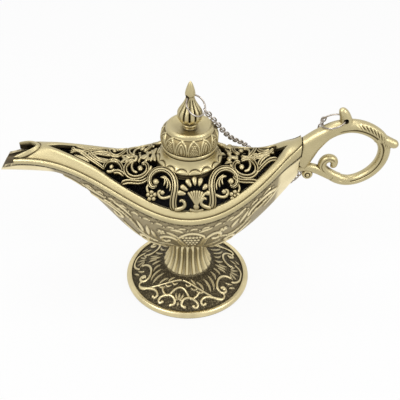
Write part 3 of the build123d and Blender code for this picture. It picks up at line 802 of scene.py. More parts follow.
@dataclass
class Bowl:
    """Lower shell with carved sides, open at the spout's lip.

    Attributes:
        stations: rows of the mesh from the lip to the solid stern.
        stern_rows: rows of the mesh along the solid stern.
        sides: columns of the mesh round the outside.
        hollow: columns of the mesh round the inside.
        wall: thickness of the shell.
        solid_from: x past which the stern is solid.
        trough_to: x up to which the inside is the brown trough of the spout.
        relief_height: height of the carving.
    """

    stations: int = 286
    stern_rows: int = 44
    sides: int = 200
    hollow: int = 40
    wall: float = 2.2
    solid_from: float = 37.4
    trough_to: float = -82.0
    relief_height: float = 1.1

    def ornament(self) -> list[Stroke]:
        """Carving of one side, as (x, distance below the rim)."""
        tall = self.relief_height
        rolls = drawn(
            tall, Section.ROLL,
            (0.65, (-4.6, 15.5), (-1.6, 9.6), (2.6, 7.2), (7.0, 9.2), (9.4, 13.6)),
            (0.6, (-4.6, 15.5), (-2.6, 21.5), (-1.0, 28.0)),
            (0.6, (9.4, 13.6), (8.2, 20.5), (6.4, 28.0)),
            (0.95, (-2.4, 28.0), (-5.0, 19.2), (-8.4, 14.4), (-12.4, 15.4), (-14.0, 19.6), (-11.8, 22.4),
             (-9.8, 20.2)),
            (0.95, (7.6, 28.0), (9.8, 19.4), (12.2, 13.2), (15.2, 11.2), (18.0, 14.0), (16.8, 18.0),
             (14.2, 17.4)),
            (0.9, (47.0, 9.0), (41.0, 6.4), (35.5, 7.4), (33.2, 11.2)),
            (0.85, (-53.0, 11.6), (-46.0, 10.4), (-39.6, 11.0), (-35.6, 14.2), (-37.8, 16.8), (-40.2, 14.8)),
            (0.95, (-14.0, 36.0), (-21.0, 33.4), (-26.0, 28.0), (-24.4, 24.8), (-21.4, 26.4), (-22.4, 28.8)),
            (0.95, (15.0, 36.0), (21.0, 33.0), (25.6, 28.4), (24.0, 25.2), (21.0, 26.6), (21.8, 29.0)))
        bands = [
            Stroke([(19.0, 18.0), (24.0, 21.5), (29.5, 19.0), (34.0, 13.6), (39.0, 11.2), (45.0, 10.4)], 1.1,
                   tall, Section.DOUBLE, (0.7, 0.7)),
            Stroke([(-17.0, 26.0), (-22.0, 23.4), (-26.6, 18.4), (-30.8, 12.0), (-37.0, 8.4), (-45.0, 7.6)],
                   1.1, tall, Section.DOUBLE, (0.7, 0.6))]
        leaves = drawn(
            tall, Section.LEAF,
            (1.5, (-11.4, 8.4), (-8.2, 10.6), (-4.6, 14.0)), (1.2, (6.6, 6.6), (10.0, 5.2), (13.6, 4.6)),
            (1.2, (-1.8, 6.4), (-5.0, 5.2), (-9.0, 5.2)), (1.3, (24.0, 14.0), (25.6, 10.6), (28.6, 7.4)),
            (1.3, (28.0, 14.2), (30.4, 10.4), (33.0, 5.6)), (1.1, (22.6, 5.0), (26.4, 4.6), (30.0, 3.4)),
            (1.4, (-24.0, 19.4), (-25.4, 14.4), (-27.4, 9.0)),
            (1.4, (-21.0, 21.0), (-21.4, 15.4), (-22.0, 9.4)),
            (1.2, (-17.0, 20.6), (-18.6, 15.6), (-19.6, 12.0)),
            (1.2, (-30.0, 8.0), (-34.0, 5.4), (-40.0, 4.2)), (1.1, (-44.0, 5.2), (-51.0, 5.4), (-58.0, 4.2)),
            (1.0, (-56.0, 8.6), (-62.0, 7.4), (-68.0, 5.6)), (1.2, (50.0, 7.4), (47.0, 12.4), (41.0, 16.4)),
            (1.3, (-27.0, 30.0), (-32.0, 26.0), (-36.0, 20.4)),
            (1.3, (26.0, 30.4), (30.6, 26.0), (35.0, 20.6)),
            (1.2, (-6.0, 31.0), (-11.0, 28.6), (-16.0, 29.6)), (1.2, (9.0, 31.0), (13.6, 27.6), (18.6, 23.6)),
            *((0.6, (x, 4.4), (x + 2.0, 2.9), (x + 4.4, 3.1)) for x in self._sprigs()),
            *((2.1, (x * 0.35 + 1, 50.0), (x * 0.6 + 1, 42.0), (x, 33.0))
              for x in (-22.0, -14.0, -7.0, 0.0, 7.0, 14.0, 22.0)))
        beads = [dot(x + 5.2, 4.4, 0.45, tall * 0.8) for x in self._sprigs()]
        for row, (count, depth) in enumerate(((6, 12.6), (5, 16.6), (4, 20.6), (3, 24.4))):
            radius = 0.75 - 0.04 * row
            beads += [dot(2.5 + (i - (count - 1) / 2) * 1.9, depth, radius, tall) for i in range(count)]
        for x, depth in ((-14.0, 10.4), (19.6, 10.6)):
            beads += [dot(x, depth, 0.7, tall), *flower(x, depth, 1.5, 0.75, 90, tall * 0.9)]
        return [stroke.widened(0.18) for stroke in rolls + bands + leaves + beads]

    @staticmethod
    def _sprigs() -> list[float]:
        """Places of the sprigs along the rim."""
        return np.arange(-56.0, 46.0, 6.4).tolist()

    def section(self, x: float, inset: float, count: int) -> Array:
        """Line of the shell across the lamp, from the near rim to the far rim, as (y, z)."""
        spot = np.array(x)
        width = max(float(LINES.half_width(spot)) - inset, 0.3)
        top = float(LINES.seam(spot))
        keel = float(LINES.keel(spot)) + 1.5 * inset
        bilge = keel + (top - inset - keel) * 0.5
        side = width * 0.74
        outline = [(-width, top), (-side, bilge), (0, keel), (side, bilge), (width, top)]
        return SmoothLine(outline).spread(count)

    def surfaces(self) -> tuple[Array, Array, Array]:
        """Returns the outside, the inside, and how far each outside point is below the rim."""
        rows = np.concatenate((np.linspace(-LINES.lip_reach, self.solid_from, self.stations),
                               np.linspace(self.solid_from + 0.1, LINES.stern_reach, self.stern_rows)))
        outer = np.zeros((len(rows), self.sides + 1, 3))
        inner = np.zeros((len(rows), self.hollow + 1, 3))
        down = np.zeros(outer.shape[:2])
        for i, x in enumerate(rows):
            outer[i, :, 0] = inner[i, :, 0] = x
            outer[i, :, 1:] = self.section(x, 0.0, self.sides + 1)
            inner[i, :, 1:] = self.section(x, self.wall, self.hollow + 1)
            if x > self.solid_from:
                inner[i, :, 2] = float(LINES.seam(np.array(x))) - 0.05
            run = distances(outer[i, :, 1:])
            down[i] = np.minimum(run, run[-1] - run)
        low = LINES.keel_height + LINES.keel_rise
        tall = np.maximum(LINES.seam(rows)[:, None] - low, 1.0)
        slant = LINES.lip_slant * ramp(-rows, 88.0, LINES.lip_reach)[:, None]
        for table in (outer, inner):
            table[:, :, 0] += slant * np.clip((table[:, :, 2] - low) / tall, 0.0, 1.0)
        return outer, inner, down

    def carve(self, outer: Array, down: Array) -> Array:
        """Raises the carving on the outside.

        Args:
            outer: the outside, which is changed.
            down: how far each point is below the rim.

        Returns:
            How raised each point counts.
        """
        x = outer[:, :, 0]
        spots = np.stack((x, down), axis=-1).reshape(-1, 2)
        strokes = self.ornament()
        heights = carved(spots, strokes)
        marks = tarnish_and_outline_shade(spots, strokes, heights, self.relief_height, 0.36).reshape(down.shape)
        heights = heights.reshape(down.shape) * ramp(down, 0.6, 2.4) * (1 - ramp(x, 46.0, 52.0))
        across = headings(outer[:, :, 1:], axis=1)
        outer[:, :, 1] += heights * across[:, :, 1]
        outer[:, :, 2] = np.maximum(outer[:, :, 2] - heights * across[:, :, 0], LINES.keel_height + 0.02)
        plain_ends = np.maximum(0.75 * ramp(-x, 66.0, 78.0), 0.8 * ramp(x, 45.0, 51.0))
        return np.maximum(marks, plain_ends) * ramp(down, 0.2, 1.5)

    def build(self, finishes: Finishes) -> Pieces:
        """Builds the shell and returns it."""
        outer, inner, down = self.surfaces()
        marks = self.carve(outer, down)
        form = new_form()
        middle = (outer[:1, :, :] + self._resampled(inner[:1], self.sides + 1)) / 2
        end = np.broadcast_to(outer[-1:].mean(axis=1, keepdims=True), outer[-1:].shape)
        lay_sheet(form, np.concatenate((middle, outer, end)), np.concatenate((marks[:1], marks, marks[-1:])))
        for side in (0, -1):
            lay_sheet(form, np.stack((outer[:, side], inner[:, side]), axis=1), 0.5)
        lip = self._resampled(middle, self.hollow + 1)
        lip[:, 0], lip[:, -1] = middle[:, 0], middle[:, -1]
        dark = lay_sheet(form, np.concatenate((lip, inner)), 0.4)
        bmesh.ops.recalc_face_normals(form, faces=form.faces)
        for face in {face for vert in dark for face in vert.link_faces}:
            face.material_index = 2 if face.calc_center_median().x < self.trough_to else 1
        shell = finished("bowl_shell", form, [finishes.carved, finishes.inside, finishes.trough], crease=60.0)
        return [fitted(shell, "bowl", "base")]

    @staticmethod
    def _resampled(table: Array, count: int) -> Array:
        """Rows of a table with another number of columns."""
        old, new = np.linspace(0.0, 1.0, table.shape[1]), np.linspace(0.0, 1.0, count)
        return np.stack([np.stack([np.interp(new, old, axis) for axis in row.T], axis=1) for row in table])


@dataclass
class Cover:
    """Rim frame with its bead, groove and rolled band, and the hood of the spout.

    Attributes:
        wall: thickness of the frame.
        band_rise: height of the band over the groove.
        mouth_depth: length of the notch at the spout's tip.
        mouth_half: half width of that notch at the tip.
        roll: how far the band's inner edge turns down.
        bead_points, band_points: points across the bead and across the band.
    """

    wall: float = 2.0
    band_rise: float = 2.3
    mouth_depth: float = 10.8
    mouth_half: float = 6.8
    roll: float = 1.5
    bead_points: int = 11
    band_points: int = 30

    def gap(self, x: Array) -> Array:
        """Half width of the hole in the middle: the opening, or the notch of the mouth."""
        share = np.clip((x + LINES.spout_reach) / self.mouth_depth, 0.0, 1.0)
        notch = self.mouth_half * np.sqrt(1 - share)
        return np.where(x < -LINES.spout_reach + self.mouth_depth, notch, LINES.opening(x))

    def lip_distance(self, x: float, y: Array) -> Array:
        """Distance in plan from the edge of the mouth's notch to points of one section."""
        out = np.linspace(0.0, 1.0, 60)
        edge = np.stack((-LINES.spout_reach + self.mouth_depth * (1 - out**2), self.mouth_half * out), axis=1)
        spots = np.stack((np.full_like(y, x), y), axis=1)
        return np.linalg.norm(spots[:, None, :] - edge[None, :, :], axis=2).min(axis=1)

    def arch(self, spot: Array, width: float, high: float) -> Array:
        """Line of the band and hood from the groove to the middle, as (y, z)."""
        level = high + self.band_rise * (1 - 0.55 * float(ramp(spot, 50.0, LINES.stern_reach)))
        crown = 0.13 + 0.22 * float(window(spot, -84.0, -36.0, 14.0))
        shoulder = width - min(3.0, width * 0.4)
        whole = SmoothLine([(width, high), (shoulder, level), (0, level + crown * width), (-shoulder, level),
                            (-width, high)])
        return whole.spread(161)[:81]

    def ring(self, x: float) -> tuple[Array, Array]:
        """Outline of one half of the frame at x, with how raised each point is."""
        spot = np.array(x)
        width, high = float(LINES.half_width(spot)), float(LINES.groove(spot))
        low = float(LINES.seam(spot)) + LINES.seam_gap
        gap = float(self.gap(spot))
        tall = high - low
        turn = np.linspace(-0.5, 0.5, self.bead_points) * np.pi
        bead = np.stack((width - 0.35 + 1.5 * np.cos(turn), low + tall / 2 + tall / 2 * np.sin(turn)), axis=1)
        groove = np.array([(width - 0.9, high + 0.1), (width - 1.05, high + 0.35), (width - 0.6, high + 0.7)])
        across = np.linspace(0.0, 1.0, self.band_points)
        line = self.arch(spot, width, high)
        y = width - 0.3 - (width - 0.3 - gap) * across ** 0.9
        z = np.interp(-y, -line[:, 0], line[:, 1])
        open_part = float(window(spot, -80.0, 56.0, 8.0))
        z -= self.roll * open_part * ramp(across, 0.5, 1.1) ** 1.4
        out = self.lip_distance(x, y)
        lip_groove = hump(out, 2.5, 0.5)
        z += 0.7 * hump(out, 0.8, 0.7) - 0.6 * lip_groove
        thick = min(self.wall, 0.8 * (width - gap))
        under = np.array([(gap, z[-1] - self.wall), (max(gap, width - thick - 1.0), high - 0.4),
                          (width - thick, high - 1.2), (width - thick, low)])
        bead_marks = np.interp(np.linspace(0, 1, self.bead_points), [0, 0.12, 0.85, 1], [0.25, 1, 1, 0.3])
        band_marks = np.clip(0.44 + across * 1.3, 0, 1) * (1 - 0.3 * open_part * ramp(across, 0.85, 1.0))
        marks = np.concatenate((bead_marks, [0.0, 0.0, 0.2], band_marks - 0.9 * lip_groove,
                                [0.15, 0.1, 0.1, 0.1], bead_marks[:1]))
        ring = np.concatenate((bead, groove, np.stack((y, z), axis=1), under, bead[:1]))
        return ring, np.clip(marks, 0.0, 1.0)

    def build(self, finishes: Finishes) -> Pieces:
        """Builds the frame and returns it."""
        fine = -LINES.spout_reach + self.mouth_depth
        spans = ((-LINES.spout_reach, fine - 2.0, 24), (fine - 2.0, fine + 0.3, 18), (fine + 0.3, 46.0, 210),
                 (46.0, LINES.stern_reach, 50))
        rows = np.unique(np.round(np.concatenate([np.linspace(*span) for span in spans]), 4))
        rings, marks = zip(*(self.ring(x) for x in rows))
        table = np.zeros((len(rows), len(rings[0]), 3))
        table[:, :, 0] = rows[:, None]
        table[:, :, 1:] = np.stack(rings)
        front, back = (np.broadcast_to(row.mean(axis=1, keepdims=True), row.shape)
                       for row in (table[:1], table[-1:]))
        whole = np.concatenate((front, table, back))
        relief = np.stack((marks[0], *marks, marks[-1]))
        form = new_form()
        for sign in BOTH_SIDES:
            lay_sheet(form, whole * np.array((1.0, sign, 1.0)), relief)
        walls = [face for face in form.faces if all(abs(vert.co.y) < 1e-4 for vert in face.verts)]
        bmesh.ops.delete(form, geom=walls, context="FACES_ONLY")
        return [fitted(finished("cover_frame", form, [finishes.smooth], crease=50.0), "cover", "cover")]


@dataclass
class Openwork:
    """Pierced dome of scrolls, drawn on a leaning plan and wrapped onto the dome.

    Attributes:
        tilt: lean of the plan in degrees.
        plan_height: height at which the plan starts.
        mound: height of the dome's middle.
        mound_spread: how far the mound reaches along x.
        depth: thickness of the scrolls below the dome.
        lift: height of the tallest scrolls over the dome.
        stations, columns: lines across the dome that carry the plan, and points of each.
        near_columns: how many of those points the plan of the near half may use.
    """

    tilt: float = 38.0
    plan_height: float = 80.0
    mound: float = 21.0
    mound_spread: float = 29.0
    depth: float = 1.5
    lift: float = 1.5
    stations: int = 258
    columns: int = 161
    near_columns: int = 96

    def _bar(self, half: float, share: float, *route: tuple[float, float], section: Section = Section.ROLL,
             thin: tuple[float, float] = (1.0, 1.0)) -> Stroke:
        """Stroke whose height is a share of the lift."""
        return Stroke(list(route), half, self.lift * share, section, thin)

    def left_big(self) -> list[Stroke]:
        """Big scroll beside the shell, with its fan of lines, eye, hooks and flower."""
        fan = [self._bar(0.55, 0.75, (-9.4 - 1.6 * i, -12.6 + 1.4 * i), (-9.6 - 1.5 * i, -7.6 + 0.9 * i),
                         (-13.0 - 0.8 * i, -4.6 - 0.4 * i)) for i in range(3)]
        return fan + flower(-19.0, -15.0, 1.9, 1.25, 20, self.lift * 0.8) + [
            dot(-19.0, -15.0, 0.95, self.lift), dot(-16.8, -7.8, 1.75, self.lift * 1.1),
            dot(-13.2, -13.2, 1.35, self.lift),
            self._bar(2.1, 1.0, (-6.6, -22.0), (-7.4, -17.0), (-6.5, -11.0), (-7.3, -5.6), (-10.6, -2.0),
                      (-15.0, -1.2), (-18.8, -3.2), (-20.2, -7.2), (-18.6, -10.2), (-16.2, -9.6),
                      section=Section.GROOVED, thin=(1.0, 0.6)),
            self._bar(1.1, 1.0, (-6.8, -21.4), (-3.4, -21.0), (-1.3, -19.0), (-2.6, -17.0), (-4.4, -17.8),
                      thin=(1.2, 0.8)),
            self._bar(0.9, 0.9, (-8.6, -14.6), (-11.4, -15.8), (-14.6, -15.2), (-15.2, -13.0),
                      (-13.4, -12.4)),
            self._bar(0.75, 0.8, (-20.6, -9.0), (-21.4, -11.4), (-20.4, -13.6))]

    def left_ring(self) -> list[Stroke]:
        """Ring scroll with its eye and the double-edged leaf under it."""
        return [
            dot(-25.8, -1.0, 1.55, self.lift * 1.1),
            self._bar(1.7, 1.0, (-29.6, 3.2), (-32.6, 1.6), (-33.9, -2.0), (-31.8, -5.0), (-27.6, -6.0),
                      (-23.4, -4.6), (-21.4, -1.4), (-22.6, 1.2), (-25.2, 1.0), section=Section.DOUBLE,
                      thin=(0.8, 0.7)),
            self._bar(0.75, 0.8, (-29.8, 2.8), (-30.6, 0.2), (-29.6, -2.2), (-27.0, -3.0)),
            self._bar(1.7, 0.95, (-35.4, -9.2), (-31.4, -8.0), (-25.6, -8.2), (-21.0, -5.8),
                      section=Section.DOUBLE, thin=(0.9, 0.6)),
            self._bar(0.8, 0.7, (-22.0, -4.4), (-20.6, -1.6), (-19.6, 0.6))]

    def shell(self) -> list[Stroke]:
        """Scallop shell on its knob, with a crown of fingers."""
        middle, waist = 4.6, -14.2
        ribs = [self._bar(0.85, 0.95, (middle, -19.4), (middle + 0.55 * out, -15.6),
                          (middle + out, -11.4 - 0.055 * out * out), thin=(0.7, 1.1))
                for out in (-4.5, -3.0, -1.5, 0.0, 1.5, 3.0, 4.5)]
        fingers = []
        for tip_x, tip_y in ((-5.7, -12.9), (-4.0, -9.4), (-0.9, -6.0), (2.9, -4.6), (6.7, -5.0),
                             (10.1, -8.4), (11.9, -12.4)):
            x, y = middle + 0.52 * (tip_x - middle), waist + 0.5 * (tip_y - waist)
            fingers.append(self._bar(1.9, 1.0, (x, y), ((x + tip_x) / 2, (y + tip_y) / 2), (tip_x, tip_y),
                                     thin=(0.5, 1.0)))
        return ribs + fingers + [dot(middle, -20.0, 1.7, self.lift),
                                 self._bar(1.1, 0.5, (middle, -20.0), (middle, -23.4)),
                                 self._bar(0.9, 0.5, (1.0, -21.6), (middle, -22.4), (8.6, -21.4))]

    def leaves(self) -> list[Stroke]:
        """Small scrolls and leaf tails towards both ends, and sprigs along the ridge."""
        tall, edged, leaf = self.lift, Section.DOUBLE, Section.LEAF
        return [
            self._bar(1.0, 1.0, (-45.4, -1.2), (-44.2, 1.6), (-40.6, 2.8), (-37.0, 0.8), (-35.0, -2.4),
                      section=edged),
            dot(-41.6, -0.6, 1.2, tall),
            self._bar(0.8, 0.8, (-44.0, -2.6), (-41.6, -3.0), (-39.6, -1.6)),
            self._bar(1.15, 0.9, (-40.4, -3.4), (-37.0, -3.2), (-34.2, -5.2), section=edged),
            self._bar(1.25, 0.8, (-64.0, 6.6), (-61.0, 7.8), (-55.4, 4.8), (-50.0, 1.4), (-45.0, -1.8),
                      section=edged, thin=(0.9, 0.5)),
            self._bar(1.0, 0.7, (-62.0, 5.2), (-58.0, 4.2), (-53.0, 1.4), section=leaf),
            self._bar(1.0, 0.8, (-55.0, 7.8), (-51.0, 4.2), (-46.0, 2.2), (-43.0, 2.6), section=edged),
            self._bar(0.95, 0.7, (-52.0, 7.4), (-44.0, 6.2), (-36.0, 6.4), (-28.0, 8.6), section=edged),
            self._bar(0.9, 0.8, (-37.0, 1.6), (-34.6, 4.0), (-31.0, 5.6), (-27.6, 5.0)),
            dot(-33.8, 5.2, 1.1, tall), dot(-28.6, 5.0, 1.1, tall),
            self._bar(0.9, 0.8, (-27.0, 7.4), (-24.4, 5.0), (-22.4, 6.4), (-23.6, 8.6)),
            self._bar(1.1, 0.8, (-24.0, 2.8), (-21.6, 4.4), (-18.6, 3.6), section=leaf),
            self._bar(1.1, 0.8, (-20.6, 9.4), (-19.0, 6.4), (-18.0, 3.2)),
            self._bar(1.2, 0.85, (34.6, -2.4), (38.6, 1.2), (42.6, 5.0), (47.0, 6.4), section=edged,
                      thin=(0.6, 0.9)),
            self._bar(1.0, 0.8, (37.4, 2.2), (39.6, 6.0), (43.6, 8.6), section=edged),
            self._bar(1.0, 0.8, (20.4, 4.8), (23.0, 6.6), (26.0, 5.4)),
            dot(21.6, 5.0, 1.2, tall), dot(25.6, 6.6, 1.1, tall),
            self._bar(0.9, 0.7, (28.0, 7.6), (31.0, 6.6), (34.0, 7.2), (37.6, 9.0), section=edged),
            self._bar(0.9, 0.7, (33.6, 4.6), (35.4, 6.6), (40.0, 9.0), (45.6, 9.8), section=edged),
            self._bar(1.0, 0.7, (19.0, 2.4), (20.6, 3.6), (23.6, 3.4), section=leaf)]

    def strokes(self) -> list[Stroke]:
        """Whole pattern of the near half, as (x, height on the plan)."""
        left = self.left_big() + self.left_ring()
        right = [stroke.mirrored(5.6, 1.4) for stroke in self.left_big()]
        right += [stroke.mirrored(2.4, 2.2) for stroke in self.left_ring()]
        return left + right + self.shell() + self.leaves()

    def lay_stroke(self, form: Form, stroke: Stroke) -> None:
        """Lays one stroke as a rounded bar on the flat plan, with z as its height.

        Args:
            form: the bmesh that gets it.
            stroke: the stroke.
        """
        line = SmoothLine(stroke.points)
        count = max(7, int(line.length / 0.55) + 5)
        even = np.linspace(0.0, 1.0, count)
        shares = 0.6 * even + 0.4 * (1 - np.cos(np.pi * even)) / 2
        run = line.at(shares)
        heading = headings(line.spread(count))
        side = heading[:, ::-1] * (-1.0, 1.0)
        half = np.maximum(stroke.width(shares), 0.12)
        if line.length < 0.1:
            reach = np.linspace(-1.0, 1.0, count)
            run = run[0] + heading * (reach * stroke.half)[:, None]
            cap = half_round(reach)
        else:
            ends = np.minimum(shares, 1 - shares) * max(line.length, stroke.half * 2) / stroke.half
            cap = half_round(np.clip(1 - ends, 0.0, 1.0))
        out = np.linspace(-1.0, 1.0, 21)
        top = stroke.profile(np.abs(out))
        ring = np.concatenate((out, [0.9, -0.9, -1.0]))
        rise = np.concatenate((stroke.height * top, [-self.depth, -self.depth, 0.0]))
        level = np.concatenate((np.clip(1.5 * top - 0.5, 0.08, 1.0), [0.0, 0.0, 0.08]))
        table = np.zeros((count, len(ring), 3))
        spread = (half * np.maximum(cap, 0.02))[:, None, None] * ring[None, :, None]
        table[:, :, :2] = run[:, None, :] + side[:, None, :] * spread
        table[:, :, 2] = np.where(rise > 0, rise * (0.35 + 0.65 * cap[:, None]), rise)
        lay_sheet(form, table, level)

    def dome(self, x: float) -> Array:
        """Line across the dome at x, from the near edge to the far edge, as (y, z)."""
        spot = np.array(x)
        width = float(LINES.opening(spot)) + 1.4
        edge = float(LINES.groove(spot)) + 2.0
        mound = self.mound * math.exp(-((x / self.mound_spread) ** 2))
        level, crown = edge + 1.15 + mound * 0.73, edge + 1.15 + mound
        side = width * 0.68
        whole = SmoothLine([(-width, edge), (-side, level), (0, crown), (side, level), (width, edge)])
        return whole.spread(self.columns)

    def wrapped(self, flat: Array) -> Array:
        """Moves points of the plan onto the near half of the dome.

        Args:
            flat: points as (x, height on the plan, height over the dome).

        Returns:
            The same points in the lamp's frame.
        """
        stations = np.linspace(-LINES.opening_front, LINES.opening_rear, self.stations)
        lines = np.stack([self.dome(x) for x in stations])
        along = np.broadcast_to(stations[:, None, None], (*lines.shape[:2], 1))
        grid = np.concatenate((along, lines), axis=2)
        normal = np.cross(np.gradient(grid, axis=0), np.gradient(grid, axis=1))
        normal /= np.linalg.norm(normal, axis=2, keepdims=True)
        columns = np.arange(float(self.columns))
        lean = math.radians(self.tilt)
        plan = lines[:, :, 0] * math.sin(lean) + (lines[:, :, 1] - self.plan_height) * math.cos(lean)
        plan = np.maximum.accumulate(plan, axis=1) + columns * 1e-6
        place = np.clip((flat[:, 0] - stations[0]) / (stations[1] - stations[0]), 0, len(stations) - 1.001)
        left = place.astype(int)
        share = place - left
        made = np.zeros_like(flat)
        for i in np.unique(left):
            here = left == i
            for k, weight in ((i, 1 - share[here]), (i + 1, share[here])):
                at = np.interp(flat[here, 1], plan[k, :self.near_columns], columns[:self.near_columns])
                spot, out = (np.stack([np.interp(at, columns, axis) for axis in table[k].T], axis=1)
                             for table in (grid, normal))
                made[here] += weight[:, None] * (spot + out * flat[here, 2:3])
        return made

    def border(self, form: Form) -> None:
        """Low border under the rim band and the ring under the collar, both coloured dark as painted shadow
        under the band's edge and under the collar.
        """
        rows = np.linspace(-62.0, 44.0, 130)
        outer = LINES.opening(rows) + 0.6
        inner = np.maximum(outer - 1.9, 0.0)
        edge = LINES.groove(rows) + 1.1
        ring = [(outer, edge), ((outer + inner) / 2, edge + 0.5), (inner, edge + 0.1), (inner, edge - 1.2),
                (outer, edge - 1.2), (outer, edge)]
        table = np.stack([np.stack((rows, y, z), axis=1) for y, z in ring], axis=1)
        # The border's low relief mark of 0.25 paints a shadow under the rim band's edge.
        for sign in BOTH_SIDES:
            lay_sheet(form, table * np.array((1.0, sign, 1.0)), 0.25)
        seat = np.array([(15.7, 86.0), (15.7, 88.0), (17.2, 88.0), (17.9, 87.3), (18.0, 86.4), (15.7, 86.0)])
        # The ring's low relief mark of 0.12 paints shade under the collar.
        turn_profile(form, seat, 96, 0.12)

    def build(self, finishes: Finishes) -> Pieces:
        """Builds the pierced dome and returns it."""
        form = new_form()
        for stroke in self.strokes():
            self.lay_stroke(form, stroke)
        verts = list(form.verts)
        spots = self.wrapped(np.array([vert.co[:] for vert in verts]))
        for vert, spot in zip(verts, spots.tolist()):
            vert.co = spot
        near = list(form.verts) + list(form.edges) + list(form.faces)
        copy = bmesh.ops.duplicate(form, geom=near)["geom"]
        far = [part for part in copy if isinstance(part, bmesh.types.BMVert)]
        bmesh.ops.scale(form, vec=(1, -1, 1), verts=far)
        self.border(form)
        dome = finished("openwork_dome", form, [finishes.pierced], crease=55.0, merge=0.002)
        return [fitted(dome, "openwork", "cover")]


# Turned pieces


@dataclass
class Collar:
    """Scalloped collar that carries the lid.

    Attributes:
        seat: height of its underside.
        top: height of its rim.
        flange: radius at the bottom.
        lobes: number of scallops.
    """

    seat: float = 88.0
    top: float = 95.4
    flange: float = 17.6
    lobes: int = 16

    def build(self, finishes: Finishes) -> Pieces:
        """Builds the collar and returns it."""
        edge = (self.flange - 0.35, self.seat + 2.2)
        skirt = SmoothLine([(15.8, self.seat - 0.3), (self.flange - 0.5, self.seat - 0.25),
                            (self.flange - 0.05, self.seat + 0.5), edge]).spread(22)
        cove = SmoothLine([edge, (15.7, 92.0), (14.9, 93.8), (14.75, 94.9)]).spread(26)
        rim = [(14.5, self.top), (12.6, self.top), (12.6, 84.0), (15.5, 84.0), (15.5, self.seat - 0.3)]
        form = turned(np.concatenate((skirt, cove[1:], rim)), 288, self._scallops)
        return [fitted(finished("collar_ring", form, [finishes.smooth]), "collar", "cover")]

    def _scallops(self, angle: Array, radius: Array, height: Array) -> Turned:
        """Raises a row of round scallops along the bottom; returns radius, height and relief."""
        line = self.seat + 0.7 + 2.3 * half_round(repeat(angle, self.lobes))
        skirt = (radius > 15.9) & (height < self.seat + 4.5) & (height > self.seat - 0.2)
        inside = ramp(line - height, -0.15, 0.35)
        dark = hump(height, line + 0.2, 0.35)
        radius = np.where(skirt, radius + 0.3 * inside - 0.35 * dark - 0.05, radius)
        mark = np.where(skirt, np.clip(1.0 - 0.95 * dark, 0.0, 1.0), 1.0)
        mark = np.where((height > self.top - 0.45) | (radius < 14.3), 0.15, mark)
        return radius, height, mark


@dataclass
class Lid:
    """Hollow cap with a row of pointed petals.

    Attributes:
        seat: height of its underside.
        top: height of its plate.
        petals: number of petals.
        reach: radius at which the petals are drawn.
    """

    seat: float = 95.7
    top: float = 109.2
    petals: int = 14
    reach: float = 15.1

    @property
    def pitch(self) -> float:
        """Distance from petal to petal."""
        return 2 * math.pi * self.reach / self.petals

    def ornament(self) -> list[Stroke]:
        """Petals, by turns plain and beaded, as (distance round, height)."""
        strokes = []
        for number in (-1, 0, 1, 2):
            middle = number * self.pitch
            strokes += [Stroke([(middle + sign * 2.75, 98.6), (middle + sign * 2.95, 102.0),
                                (middle + sign * 2.1, 104.9), (middle, 107.0)], 0.45, 0.45)
                        for sign in BOTH_SIDES]
            strokes += self._beads(middle) if number % 2 else [
                Stroke([(middle - 1.5, 99.0), (middle - 1.6, 102.4), (middle, 105.2), (middle + 1.6, 102.4),
                        (middle + 1.5, 99.0)], 0.36, 0.3),
                Stroke([(middle, 98.6), (middle, 101.4), (middle, 104.0)], 0.8, 0.26, Section.LEAF)]
        return strokes

    @staticmethod
    def _beads(middle: float) -> list[Stroke]:
        """Rows of beads that fill one petal."""
        places = [(row, column * 0.95 + (row % 2) * 0.48) for row in range(7) for column in range(-2, 3)]
        return [dot(middle + x, 99.0 + row * 0.95, 0.38, 0.3) for row, x in places
                if abs(x) < 2.2 - 0.4 * max(row - 3, 0)]

    def build(self, finishes: Finishes) -> Pieces:
        """Builds the cap and returns it."""
        ring = np.array([(12.4, self.seat), (14.45, self.seat), (14.85, self.seat + 0.5),
                         (14.95, self.seat + 1.2), (14.75, self.seat + 1.9), (14.3, self.seat + 2.25),
                         (14.35, self.seat + 2.5)])
        drum = SmoothLine([(14.35, self.seat + 2.5), (15.2, 101.6), (14.6, 105.2), (13.2, 107.0)]).spread(64)
        brow = SmoothLine([(13.2, 107.0), (12.75, 107.4), (12.6, 108.0), (12.1, 108.9), (10.8, self.top),
                           (3.0, self.top)]).spread(30)
        inside = [(1.6, self.top), (1.6, 107.4), (9.8, 107.4), (10.8, 102.4), (10.8, 90.7), (12.2, 90.7),
                  (12.2, self.seat), (12.4, self.seat)]
        form = turned(np.concatenate((ring, drum[1:], brow[1:], inside)), 504, self._petals)
        return [fitted(finished("lid_cap", form, [finishes.smooth]), "lid", "lid")]

    def _petals(self, angle: Array, radius: Array, height: Array) -> Turned:
        """Raises the petals on the drum; returns radius, height and relief."""
        along = np.mod(angle * self.reach + self.pitch / 2 + 0.6, 2 * self.pitch) - self.pitch / 2
        drum = (height > self.seat + 2.4) & (height < 107.1) & (radius > 12.9)
        rise = np.where(drum, carved(np.stack((along, height), axis=1), self.ornament()), 0.0)
        ground = np.where(drum, 0.4 + 0.55 * np.clip(rise / 0.3, 0.0, 1.0), 0.9)
        seat = hump(height, self.seat + 2.3, 0.25) * (radius > 14)
        brow = hump(height, 107.2, 0.35) * (radius > 12)
        mark = np.clip(ground - 0.9 * seat - 0.35 * brow, 0.0, 1.0)
        return radius + rise, height, np.where(height < self.seat + 0.2, 0.1, mark)


